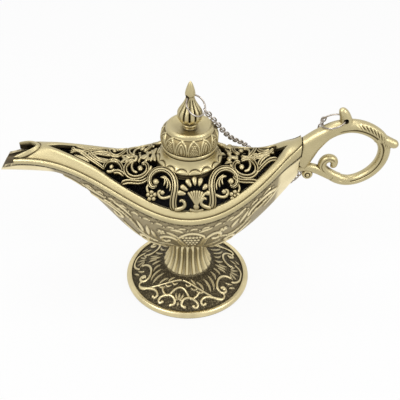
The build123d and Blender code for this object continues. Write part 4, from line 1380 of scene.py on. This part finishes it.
@dataclass
class Finial:
    """Ribbed onion knob with a cross hole near its tip.

    Attributes:
        base: height of its foot.
        tip: height of its tip.
        ribs: number of ribs.
        hole_height: height of the cross hole.
        hole_turn: direction of the cross hole in degrees.
    """

    base: float = 109.2
    tip: float = 134.9
    ribs: int = 12
    hole_height: float = 126.2
    hole_turn: float = 50.0

    def build(self, finishes: Finishes) -> Pieces:
        """Builds the knob and returns it."""
        foot = np.array([(0.0, 104.0), (1.5, 104.0), (1.5, self.base), (3.9, self.base),
                         (4.3, self.base + 0.35), (4.2, self.base + 0.9), (3.5, self.base + 1.15),
                         (3.3, self.base + 1.5)])
        bulb = SmoothLine([(3.3, self.base + 1.5), (5.3, 111.9), (6.7, 114.6), (6.6, 116.8), (5.3, 119.4),
                           (3.7, 122.0), (2.6, 124.4), (2.25, 126.0)]).spread(84)
        tip = SmoothLine([(2.25, 126.0), (2.65, 127.0), (2.5, 129.0), (1.75, 131.6), (0.7, 134.0),
                          (0.0, self.tip)]).spread(34)
        form = turned(np.concatenate((foot, bulb[1:], tip[1:])), 144, self._ribbed)
        knob = finished("finial_knob", form, [finishes.smooth], crease=70.0)
        drill(knob, 1.2, 24, Matrix.Translation((0, 0, self.hole_height))
              @ Matrix.Rotation(math.radians(self.hole_turn), 4, "Z") @ Matrix.Rotation(math.pi / 2, 4, "Y"))
        return [fitted(knob, "finial", "lid")]

    def _ribbed(self, angle: Array, radius: Array, height: Array) -> Turned:
        """Sinks the gaps between the ribs of the bulb; returns radius, height and relief."""
        gap = hump(np.abs(repeat(angle, self.ribs)), 1.0, 0.3)
        gap *= ramp(height, 112.4, 114.4) * (1 - ramp(height, 123.6, 126.0))
        ring = hump(height, self.base + 1.3, 0.3) * (radius < 4.2)
        return radius * (1 - 0.22 * gap), height, np.clip(1 - 0.95 * gap - 0.8 * ring, 0.0, 1.0)


@dataclass
class Foot:
    """Round foot with a rolled rim, a carved slope and a fluted stem.

    Attributes:
        radius: radius of the rim.
        rim_width: width of the rolled rim.
        hollow_top: height where the wide hollow underneath ends.
        top: height of the stem's top.
        flutes: number of flutes.
        turn: direction of the first shell in degrees.
        relief_height: height of the carving.
    """

    radius: float = 37.25
    rim_width: float = 3.4
    hollow_top: float = 12.5
    top: float = 29.0
    flutes: int = 20
    turn: float = -99.0
    relief_height: float = 0.8

    def ornament(self) -> list[Stroke]:
        """Carving from the middle of one shell to the middle of the next, on a flat plan.

        Its routes are written as (degrees from the first shell, radius).
        """
        rolls = drawn(
            self.relief_height, Section.ROLL,
            (0.6, (0.0, 21.2), (5.5, 21.9), (10.0, 24.0), (13.0, 26.8)),
            (0.72, (7.4, 31.6), (4.4, 30.8), (4.4, 28.8), (9.0, 26.9), (15.0, 27.0), (20.0, 28.6),
             (22.2, 30.8), (20.0, 32.4), (17.4, 31.6)),
            (0.6, (15.0, 27.4), (21.6, 26.4), (26.6, 24.2)),
            (0.7, (50.0, 32.2), (44.0, 30.2), (38.0, 28.4), (31.0, 27.8), (26.8, 29.2), (27.6, 31.6)),
            (0.72, (80.0, 27.4), (77.0, 24.2), (68.0, 22.6), (58.0, 23.8), (53.6, 26.6), (55.0, 29.6),
             (60.6, 30.0), (61.6, 27.8), (58.6, 27.2)),
            (0.6, (55.6, 29.6), (54.0, 31.8), (49.0, 32.4), (43.0, 30.0), (37.4, 26.6)),
            (0.62, (76.0, 29.6), (81.0, 32.2), (90.0, 33.0)),
            (0.5, (38.0, 27.0), (31.0, 23.6), (22.0, 20.4), (12.0, 18.0), (3.0, 17.0)),
            (0.95, (7.6, 31.8), (7.6, 31.82)), (0.95, (17.4, 31.4), (17.4, 31.42)),
            (0.95, (60.0, 28.4), (60.0, 28.42)), (0.9, (30.0, 31.2), (30.0, 31.22)))
        leaves = drawn(
            self.relief_height, Section.LEAF,
            (0.75, (0.0, 28.4), (0.0, 26.4), (0.0, 24.0)), (0.75, (0.6, 28.4), (3.6, 26.6), (5.0, 24.4)),
            (0.7, (1.0, 28.6), (6.0, 27.6), (9.2, 25.8)), (0.7, (0.0, 29.0), (0.0, 30.2), (0.0, 31.6)),
            (0.75, (90.0, 26.0), (90.0, 28.6), (90.0, 31.6)),
            (0.75, (88.6, 26.4), (85.4, 28.6), (83.0, 31.0)), (0.7, (87.4, 26.4), (82.0, 27.8), (79.0, 29.4)),
            (0.7, (66.0, 30.0), (70.0, 31.6), (72.0, 33.0)), (0.8, (68.0, 26.4), (70.4, 28.6), (73.6, 30.4)),
            (0.75, (34.0, 24.8), (28.0, 24.6), (23.0, 23.0)),
            (0.75, (27.0, 22.0), (20.0, 22.4), (15.6, 20.8)), (0.75, (18.0, 19.2), (11.0, 20.0), (6.4, 18.8)),
            (0.8, (34.0, 24.4), (33.0, 20.6), (27.0, 18.2)), (0.75, (24.0, 20.6), (22.0, 18.0), (16.0, 16.2)),
            (0.85, (42.0, 26.4), (45.0, 22.0), (42.0, 17.4)),
            (0.85, (47.0, 26.0), (54.0, 21.6), (54.0, 17.0)),
            (0.85, (60.0, 21.8), (66.0, 19.4), (66.0, 16.4)),
            (0.85, (74.0, 22.0), (78.0, 19.4), (78.0, 16.4)),
            (0.95, (90.0, 24.0), (90.0, 20.4), (90.0, 16.6)), (0.7, (84.0, 24.2), (85.4, 21.6), (84.0, 18.6)))
        return [replace(stroke, points=[self._flat(*place) for place in stroke.points]).widened(0.12)
                for stroke in rolls + leaves]

    @staticmethod
    def _flat(degrees: float, radius: float) -> tuple[float, float]:
        """Place on the flat plan of a direction and a radius."""
        return radius * math.cos(math.radians(degrees)), radius * math.sin(math.radians(degrees))

    def build(self, finishes: Finishes) -> Pieces:
        """Builds the foot and returns it."""
        rim = self.radius - self.rim_width
        roll = SmoothLine([(self.radius - 0.5, 0.0), (self.radius, 1.9), (self.radius - 1.5, 3.75),
                           (rim + 0.35, 3.3), (rim - 0.1, 2.9)]).spread(26)
        slope = SmoothLine([(rim - 0.5, 3.05), (24.47, 7.45), (14.6, 11.7)]).spread(74)
        stem = SmoothLine([(14.3, 11.9), (12.1, 15.8), (10.5, 20.0), (9.8, 24.5), (9.7, 28.0),
                           (9.7, 32.2)]).spread(42)
        inside = [(2.1, self.top), (2.1, 26.0), (5.2, 26.0), (5.2, self.hollow_top), (10.8, 8.1),
                  (24.47, 5.25), (rim - 2.2, 0.84), (rim - 2.2, 0.0), (self.radius - 0.5, 0.0)]
        form = turned(np.concatenate((roll, slope, stem, inside)), 480, self._carve)
        return [fitted(finished("foot_pedestal", form, [finishes.foot], crease=55.0), "foot", "base")]

    def _carve(self, angle: Array, radius: Array, height: Array) -> Turned:
        """Raises the carving and the flutes; returns radius, height and relief."""
        outside = height > 2.6 + (33.6 - radius) * 0.3
        slope = outside & (radius < self.radius - self.rim_width - 0.2) & (radius > 14.4)
        folded = np.mod(np.degrees(angle) - self.turn + 180, 180.0)
        folded = np.radians(np.minimum(folded, 180.0 - folded))
        spots = np.stack((radius * np.cos(folded), radius * np.sin(folded)), axis=1)
        strokes = self.ornament()
        rise = np.where(slope, carved(spots, strokes), 0.0)
        relief = tarnish_and_outline_shade(spots, strokes, rise, self.relief_height, 0.17)
        stem = (height > 11.8) & (radius > 9.0) & (radius < 14.5) & ~slope
        flute = half_round(repeat(angle, self.flutes) / 0.6)
        start = ramp(height, 11.8, 13.4)
        rim = radius > self.radius - self.rim_width + 0.3
        # The carving's marks are scaled to 0.8 to hold its highlights down under the foot's brightened
        # colour, which is painted light for the stem in the bowl's shade.
        mark = np.where(slope, 0.8 * relief, np.where(rim, 0.9, 0.1))
        mark = np.where(stem, (1 - 0.5 * flute) * (0.35 + 0.65 * start), mark)
        fluted = radius + (0.9 - 1.3 * flute) * start * (1 - ramp(height, 28.5, 31.5))
        return np.where(stem, fluted, radius), height + rise, mark


# Handle and chain


@dataclass(frozen=True)
class Tube:
    """Oval tube along a line of the handle's upright plane.

    Attributes:
        points: the line as (x, z).
        sizes: share of the line, half width and half height.
        rows: rings along it.
        columns: faces round it.
        detail: takes share and angle and returns a rise and the relief.
        rounded: whether its start and its end are rounded off.
    """

    points: Points
    sizes: list[tuple[float, float, float]]
    rows: int
    columns: int = 40
    detail: Detail | None = None
    rounded: tuple[bool, bool] = (False, False)

    def lay(self, form: Form) -> None:
        """Lays the tube into a bmesh."""
        line = SmoothLine(self.points)
        shares = np.linspace(0.0, 1.0, self.rows)
        run = line.spread(self.rows)
        outward = headings(run)[:, ::-1] * (-1.0, 1.0)
        marks, widths, heights = zip(*self.sizes)
        wide, tall = np.interp(shares, marks, widths), np.interp(shares, marks, heights)
        for flag, away in zip(self.rounded, (shares, 1 - shares)):
            if flag:
                end = half_round(np.clip(1 - away * line.length / np.maximum(wide, tall), 0.0, 1.0))
                wide, tall = wide * end, tall * end
        angle = np.linspace(0.0, 2 * np.pi, self.columns + 1)
        rise, relief = self.detail(shares[:, None], angle[None, :]) if self.detail else (0.0, 1.0)
        up = (tall[:, None] + rise) * np.sin(angle)
        table = np.zeros((self.rows, self.columns + 1, 3))
        table[:, :, 0] = run[:, :1] + outward[:, :1] * up
        table[:, :, 1] = (wide[:, None] + rise) * np.cos(angle)
        table[:, :, 2] = run[:, 1:] + outward[:, 1:] * up
        lay_sheet(form, table, relief)


def loop_detail(share: Array, angle: Array) -> tuple[Array, Array]:
    """Leaf cuts on the loop's back and a groove along its sides; returns rise and relief."""
    up = np.sin(angle)
    leaf = window(share, 0.37, 0.62, 0.05) * ramp(up, -0.1, 0.25) * (1 - ramp(up, 0.6, 0.8))
    cuts = leaf * (0.5 + 0.5 * np.cos(2 * np.pi * (share * 46.0 + 2.3 * up))) ** 3.0
    line = window(share, 0.27, 0.985, 0.04) * hump(up, -0.3, 0.13)
    edge = window(share, 0.34, 0.64, 0.04) * hump(up, -0.12, 0.1)
    return -0.8 * cuts - 0.55 * line - 0.3 * edge, np.clip(1 - 0.9 * cuts - 0.9 * line - 0.5 * edge, 0.0, 1.0)


def volute_detail(share: Array, angle: Array) -> tuple[Array, Array]:
    """Groove along the sides of the volute; returns rise and relief."""
    line = window(share, 0.0, 0.9, 0.1) * hump(np.sin(angle), 0.2, 0.16)
    return -0.4 * line, np.clip(1 - 0.8 * line, 0.0, 1.0)


@dataclass
class Handle:
    """Scroll handle: a loop with a leaf-cut back, a thumb curl, a spur, a volute and a tail roll.

    Attributes:
        loop: the loop, from the stern over the top to the volute.
        arm: the arm back to the bowl.
        volute: the inner scroll.
        spur: the spur behind the loop.
        curl: the thumb curl.
        stern: x at which the loop meets the bowl.
        notch: middle and size of the block that clears the cover from the loop's root, along x and z.
        hole: middle of the hole through the curl, as (x, z).
        tail: middle of the roll under the root, as (x, z).
    """

    loop: Tube = Tube(
        [(57.0, 90.0), (67.0, 101.6), (74.5, 108.0), (84.5, 111.0), (95.5, 108.2), (103.0, 101.0),
         (104.0, 92.0), (98.8, 81.8), (88.6, 76.0), (78.6, 78.4)],
        [(0.0, 4.6, 9.5), (0.12, 4.6, 5.8), (0.22, 4.2, 4.2), (0.35, 3.8, 3.7), (0.64, 3.4, 3.3),
         (0.91, 3.0, 2.8), (1.0, 2.9, 2.7)], 300, 64, loop_detail)
    arm: Tube = Tube([(88.6, 76.0), (78.6, 78.4), (68.6, 83.0), (59.5, 83.5)],
                     [(0.0, 2.8, 2.8), (1.0, 2.5, 2.5)], 60)
    volute: Tube = Tube(
        [(82.5, 77.3), (75.4, 81.4), (72.4, 86.0), (74.8, 89.9), (78.4, 88.7), (78.2, 85.9), (76.8, 85.7)],
        [(0.0, 2.8, 2.8), (0.7, 2.6, 2.3), (0.9, 2.4, 2.1), (1.0, 2.4, 2.3)], 110, 40, volute_detail,
        (False, True))
    spur: Tube = Tube([(97.5, 105.6), (104.6, 102.0), (111.2, 99.6)],
                      [(0.0, 3.3, 3.3), (0.5, 3.0, 2.9), (0.8, 2.6, 2.5), (1.0, 2.4, 2.2)], 60,
                      rounded=(True, True))
    curl: Tube = Tube([(84.0, 109.4), (81.2, 114.4), (79.6, 118.4), (77.0, 120.6)],
                      [(0.0, 3.8, 5.2), (0.35, 3.4, 3.5), (0.7, 2.6, 2.7), (1.0, 2.1, 2.0)], 90, 48,
                      rounded=(True, True))
    stern: float = 59.45
    notch: tuple[float, float, float] = (39.95, 113.2, 40.0)
    hole: tuple[float, float] = (80.9, 115.2)
    tail: tuple[float, float] = (64.9, 79.8)

    def root(self, finishes: Finishes) -> Piece:
        """Builds the loop, cut off at the bowl and cleared from the cover, and returns it."""
        form = new_form()
        self.loop.lay(form)
        whole = list(form.verts) + list(form.edges) + list(form.faces)
        bmesh.ops.bisect_plane(form, geom=whole, plane_co=(self.stern, 0, 0), plane_no=(1, 0, 0),
                               clear_inner=True)
        bmesh.ops.remove_doubles(form, verts=form.verts, dist=0.002)
        bmesh.ops.holes_fill(form, edges=[edge for edge in form.edges if edge.is_boundary], sides=0)
        root = finished("handle_root", form, [finishes.smooth], crease=70.0)
        block = new_form()
        x, z, size = self.notch
        bmesh.ops.create_cube(block, size=size, matrix=Matrix.Translation((x, 0, z)))
        cut_away(root, block)
        return root

    def lay_tail(self, form: Form) -> None:
        """Lays the small roll under the root, with a round groove on both faces."""
        near = [(0.0, 2.75), (0.8, 2.7), (1.3, 2.1), (1.9, 2.35), (2.7, 1.8)]
        far = [(radius, -height) for radius, height in reversed(near)]
        made = turn_profile(form, SmoothLine([*near, (2.95, 0.0), *far]).spread(60), 40)
        layer = form.verts.layers.float[RELIEF]
        for vert in made:
            vert[layer] = 0.2 if abs(math.hypot(vert.co.x, vert.co.y) - 1.3) < 0.3 else 1.0
        place = Matrix.Translation((self.tail[0], 0, self.tail[1])) @ Matrix.Rotation(math.pi / 2, 4, "X")
        bmesh.ops.transform(form, verts=made, matrix=place)

    def build(self, finishes: Finishes) -> Pieces:
        """Builds the handle and returns its pieces."""
        root = self.root(finishes)
        form = new_form()
        for tube in (self.arm, self.volute, self.spur):
            tube.lay(form)
        self.lay_tail(form)
        arms = finished("handle_scrolls", form, [finishes.smooth], crease=70.0)
        form = new_form()
        self.curl.lay(form)
        thumb = finished("handle_thumb_curl", form, [finishes.smooth], crease=60.0)
        drill(thumb, 1.3, 28, Matrix.Translation((self.hole[0], 0, self.hole[1]))
              @ Matrix.Rotation(math.pi / 2, 4, "X"))
        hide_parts("handle")
        for piece in (root, arms, thumb):
            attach(piece, "base")
        return [root, arms, thumb]


@dataclass
class Chain:
    """Cable chain between a ring on the finial and a ring on the handle.

    Attributes:
        wire: radius of a link's wire.
        ring_wire: radius of the rings' wire.
        inside: inner length of a link.
        inner_width: inner width of a link.
        pitch: distance from link to link.
        upper: number of links that lie on the cover.
        high_ring, low_ring: radius of the finial's and of the handle's ring, and how many degrees it hangs.
        route: middle of the chain, from the finial's ring to the handle's ring.
    """

    wire: float = 0.38
    ring_wire: float = 0.45
    inside: float = 3.2
    inner_width: float = 1.6
    pitch: float = 2.9
    upper: int = 18
    high_ring: tuple[float, float] = (5.8, 46.0)
    low_ring: tuple[float, float] = (6.5, 17.0)
    route: list[tuple[float, float, float]] = field(default_factory=lambda: [
        (7.85, -1.72, 118.83), (14.9, 3.5, 107.2), (19.6, 9.0, 97.9), (24.4, 14.5, 90.8), (29.3, 20.2, 85.2),
        (33.4, 25.4, 79.0), (38.0, 26.0, 71.5), (45.0, 22.5, 66.0), (52.0, 16.5, 63.5), (57.4, 11.5, 63.6),
        (63.6, 9.2, 73.8), (67.4, 8.4, 86.3), (68.8, 8.6, 97.0), (70.0, 7.4, 106.0), (70.69, 4.98, 112.08)])

    def centre_line(self) -> Array:
        """Points along the chain, in millimetres, read from a smooth curve of the route."""
        curve = bpy.data.curves.new("chain_route", "CURVE")
        curve.dimensions = "3D"
        curve.resolution_u = 24
        spline = curve.splines.new("NURBS")
        spline.points.add(len(self.route) - 1)
        for point, spot in zip(spline.points, self.route):
            point.co = (*(value * MM for value in spot), 1.0)
        spline.order_u = 3
        spline.use_endpoint_u = True
        holder = bpy.data.objects.new("chain_route", curve)
        bpy.context.scene.collection.objects.link(holder)
        mesh = bpy.data.meshes.new_from_object(holder)
        line = np.array([vert.co[:] for vert in mesh.vertices]) / MM
        bpy.data.objects.remove(holder)
        bpy.data.curves.remove(curve)
        bpy.data.meshes.remove(mesh)
        return line

    def link(self) -> Array:
        """Table of one oval link, long along x and flat in z."""
        bend = self.inner_width / 2 + self.wire
        half = (self.inside - self.inner_width) / 2
        turn = np.linspace(-0.5, 0.5, 9) * np.pi
        out = np.stack((np.cos(turn), np.sin(turn)), axis=1)
        right = bend * out + (half, 0.0)
        path, out = (np.concatenate((end, -end, end[:1])) for end in (right, out))
        angle = np.linspace(0.0, 2 * np.pi, 9)
        table = np.zeros((len(path), len(angle), 3))
        table[:, :, :2] = path[:, None, :] + out[:, None, :] * (self.wire * np.cos(angle))[None, :, None]
        table[:, :, 2] = self.wire * np.sin(angle)
        return table

    def lay_links(self, name: str, line: Array, marks: Array, first: int,
                  finishes: Finishes) -> Piece:
        """Strings links on the line, each a quarter turn from the last.

        Args:
            name: the piece's name.
            line: points along the chain.
            marks: places of the links, as distances along it.
            first: number of the first link in the whole chain.
            finishes: the lamp's materials.

        Returns:
            The new piece.
        """
        run = distances(line)
        form = new_form()
        table = self.link()
        for number, mark in enumerate(marks, start=first):
            behind, spot, ahead = (np.array([np.interp(mark + step, run, axis) for axis in line.T])
                                   for step in (-1.0, 0.0, 1.0))
            heading = (ahead - behind) / np.linalg.norm(ahead - behind)
            across = np.cross(heading, (0.55, 0.83, 0.1))
            across /= np.linalg.norm(across)
            lean = math.radians(90.0 * number + 38.0)
            flat = across * math.cos(lean) + np.cross(heading, across) * math.sin(lean)
            lay_sheet(form, spot + table @ np.stack((heading, flat, np.cross(heading, flat))))
        return finished(name, form, [finishes.nickel], crease=80.0)

    def wire_ring(self, name: str, hole: Vector, along: Vector, towards: Vector, radius: float,
                  finishes: Finishes) -> Piece:
        """Round ring of wire that hangs from a hole.

        Args:
            name: the piece's name.
            hole: middle of the hole.
            along: direction of the hole.
            towards: direction in which the ring hangs.
            radius: its radius at the middle of the wire.
            finishes: the lamp's materials.

        Returns:
            The new piece.
        """
        form = new_form()
        turn = np.linspace(0.0, 2 * np.pi, 15)[:-1]
        circle = np.stack((radius + self.ring_wire * np.cos(turn), self.ring_wire * np.sin(turn)), axis=1)
        made = turn_profile(form, np.concatenate((circle, circle[:1])), 72)
        lean = Vector((0, 0, 1)).rotation_difference(along.cross(towards)).to_matrix().to_4x4()
        bmesh.ops.transform(form, verts=made, matrix=Matrix.Translation(hole + towards * radius) @ lean)
        return finished(name, form, [finishes.nickel], crease=80.0)

    def rings(self, finishes: Finishes) -> Pieces:
        """Builds the finial's ring and the handle's ring and returns them."""
        turn, drop = math.radians(Finial.hole_turn), math.radians(self.high_ring[1])
        along = Vector((math.cos(turn), math.sin(turn), 0))
        towards = Vector((math.sin(turn) * math.cos(drop), -math.cos(turn) * math.cos(drop), -math.sin(drop)))
        high = self.wire_ring("ring_on_finial", Vector((0, 0, Finial.hole_height)), along, towards,
                              self.high_ring[0], finishes)
        drop = math.radians(self.low_ring[1])
        towards = Vector((-math.cos(drop), 0, -math.sin(drop)))
        low = self.wire_ring("ring_on_handle", Vector((Handle.hole[0], 0, Handle.hole[1])), Vector((0, 1, 0)),
                             towards, self.low_ring[0], finishes)
        return [high, low]

    def build(self, finishes: Finishes) -> Pieces:
        """Builds both runs of the chain and both rings and returns them."""
        line = self.centre_line()
        run = distances(line)
        hold = self.inside / 2 - self.ring_wire - 0.15
        count = math.ceil((run[-1] - 2 * hold) / self.pitch) + 1
        marks = np.linspace(hold, run[-1] - hold, count)
        cut = int(np.searchsorted(run, (marks[self.upper - 1] + marks[self.upper]) / 2))
        LOG.info("chain: %d links along %.1f mm", count, run[-1])
        upper = self.lay_links("chain_on_cover", line, marks[: self.upper], 0, finishes)
        lower = self.lay_links("chain_to_handle", line, marks[self.upper:], self.upper, finishes)
        high, low = self.rings(finishes)
        pieces = [upper, lower, high, low]
        for piece, node in zip(pieces, ("chain_upper", "chain_lower", "finial_ring", "handle_ring")):
            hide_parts(node)
        start, joint, end = (Vector(line[i]) * MM for i in (0, cut, -1))
        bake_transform(upper, "cover", "lid", start=joint, end=start)
        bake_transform(lower, "base", "cover", start=Vector((end.x, end.y, joint.z)), end=joint)
        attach(high, "lid")
        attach(low, "base")
        return pieces


# Studio


@dataclass(frozen=True)
class Studio:
    """White studio: floor, soft lights and the camera.

    Attributes:
        eye: place of the camera in metres.
        lean: how far the camera looks down in degrees.
        roll: turn of the picture in degrees.
        lens: focal length in millimetres on a 36 mm sensor.
        floor_gap: how far the floor lies under the foot, in metres.
    """

    eye: tuple[float, float, float] = (0.006482, -0.31672, 0.309267)
    lean: float = 38.349
    roll: float = 1.6
    lens: float = 63.95
    floor_gap: float = 0.0002

    def camera(self) -> None:
        """Makes the camera."""
        data = bpy.data.cameras.new("camera")
        data.lens = self.lens
        data.sensor_width = 36.0
        data.clip_start = 0.01
        lean, roll = math.radians(self.lean), math.radians(self.roll)
        ahead = Vector((0, math.cos(lean), -math.sin(lean)))
        right, up = Vector((1, 0, 0)), Vector((0, math.sin(lean), math.cos(lean)))
        side = right * math.cos(roll) + up * math.sin(roll)
        above = up * math.cos(roll) - right * math.sin(roll)
        camera = bpy.data.objects.new("camera", data)
        turn = Matrix((side, above, -ahead)).transposed().to_4x4()
        camera.matrix_world = Matrix.Translation(self.eye) @ turn
        bpy.context.scene.collection.objects.link(camera)
        bpy.context.scene.camera = camera

    @staticmethod
    def seen(tree: Tree) -> Socket:
        """Mask of the rays that show plain white: the camera's, and those off metal or through glass."""
        path = tree.nodes.new("ShaderNodeLightPath")
        mirrored = math_node(tree, "MAXIMUM", path.outputs["Is Glossy Ray"],
                             path.outputs["Is Transmission Ray"])
        return math_node(tree, "MAXIMUM", path.outputs["Is Camera Ray"], mirrored)

    def floor(self) -> None:
        """Makes the floor, white to the camera with a faint shadow."""
        form = bmesh.new()
        bmesh.ops.create_grid(form, x_segments=8, y_segments=8, size=3.0)
        bmesh.ops.translate(form, vec=(0, 0, -self.floor_gap), verts=form.verts)
        mesh = bpy.data.meshes.new("floor")
        form.to_mesh(mesh)
        form.free()
        floor = bpy.data.objects.new("floor", mesh)
        bpy.context.scene.collection.objects.link(floor)
        made = bpy.data.materials.new("floor_white")
        made.use_nodes = True
        tree = made.node_tree
        tree.nodes.clear()
        matt = tree.nodes.new("ShaderNodeBsdfDiffuse")
        matt.inputs["Color"].default_value = (0.86, 0.86, 0.86, 1)
        glow = math_node(tree, "MULTIPLY", self.seen(tree), 0.9)
        mix_node(tree, glow, matt, tree.nodes.new("ShaderNodeEmission"), "ShaderNodeOutputMaterial")
        mesh.materials.append(made)

    def world(self) -> None:
        """Makes the surroundings: white behind, dimmer towards the camera's side and low down."""
        world = bpy.data.worlds.new("studio")
        bpy.context.scene.world = world
        world.use_nodes = True
        tree = world.node_tree
        tree.nodes.clear()
        way = tree.nodes.new("ShaderNodeSeparateXYZ")
        tree.links.new(tree.nodes.new("ShaderNodeTexCoord").outputs["Generated"], way.inputs[0])
        back = range_node(tree, way.outputs["Y"], -0.75, 0.5, 0.1, 0.62)
        high = range_node(tree, way.outputs["Z"], 0.0, 0.9, 0.0, 0.2)
        room = tree.nodes.new("ShaderNodeBackground")
        tree.links.new(math_node(tree, "ADD", back, high), room.inputs["Strength"])
        white = tree.nodes.new("ShaderNodeBackground")
        white.inputs["Color"].default_value = (1, 1, 1, 1)
        mix_node(tree, self.seen(tree), room, white, "ShaderNodeOutputWorld")

    @staticmethod
    def light(name: str, place: tuple[float, float, float], target: tuple[float, float, float],
              size: tuple[float, float], power: float) -> None:
        """Soft box.

        Args:
            name: the light's name.
            place: where it stands, in metres.
            target: what it points at.
            size: its width and height.
            power: its power in watts.
        """
        data = bpy.data.lights.new(name, "AREA")
        data.shape = "RECTANGLE"
        data.size, data.size_y = size
        data.energy = power
        lamp = bpy.data.objects.new(name, data)
        lamp.location = place
        lamp.rotation_mode = "QUATERNION"
        lamp.rotation_quaternion = (Vector(target) - Vector(place)).to_track_quat("-Z", "Y")
        bpy.context.scene.collection.objects.link(lamp)

    def build(self) -> None:
        """Builds the whole studio."""
        bpy.context.scene.view_settings.view_transform = "Standard"
        self.camera()
        self.floor()
        self.world()
        self.light("soft_box_left", (-0.55, -0.45, 0.75), (0, 0, 0.07), (0.4, 0.4), 3.3)
        self.light("soft_box_right", (0.6, -0.35, 0.6), (0, 0, 0.07), (0.35, 0.4), 2.2)
        self.light("soft_box_top", (0.0, 0.15, 0.95), (0, 0, 0.08), (0.6, 0.4), 2.4)


def main() -> None:
    """Loads the frame, builds the lamp's pieces in order and reports each one."""
    logging.basicConfig(level=logging.INFO, format="%(name)s: %(message)s")
    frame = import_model()
    Studio().build()
    finishes = Finishes()
    made: Pieces = []
    for part in (Chain(), Bowl(), Cover(), Openwork(), Collar(), Lid(), Finial(), Foot(), Handle()):
        made += part.build(finishes)
    for node in ("foot_screw", "foot_washer", "finial_nut"):
        frame["nodes"][node].data.materials.clear()
        frame["nodes"][node].data.materials.append(finishes.steel)
    for piece in made:
        LOG.info("%s: %d faces", piece.name, len(piece.data.polygons))


if __name__ == "__main__":
    main()
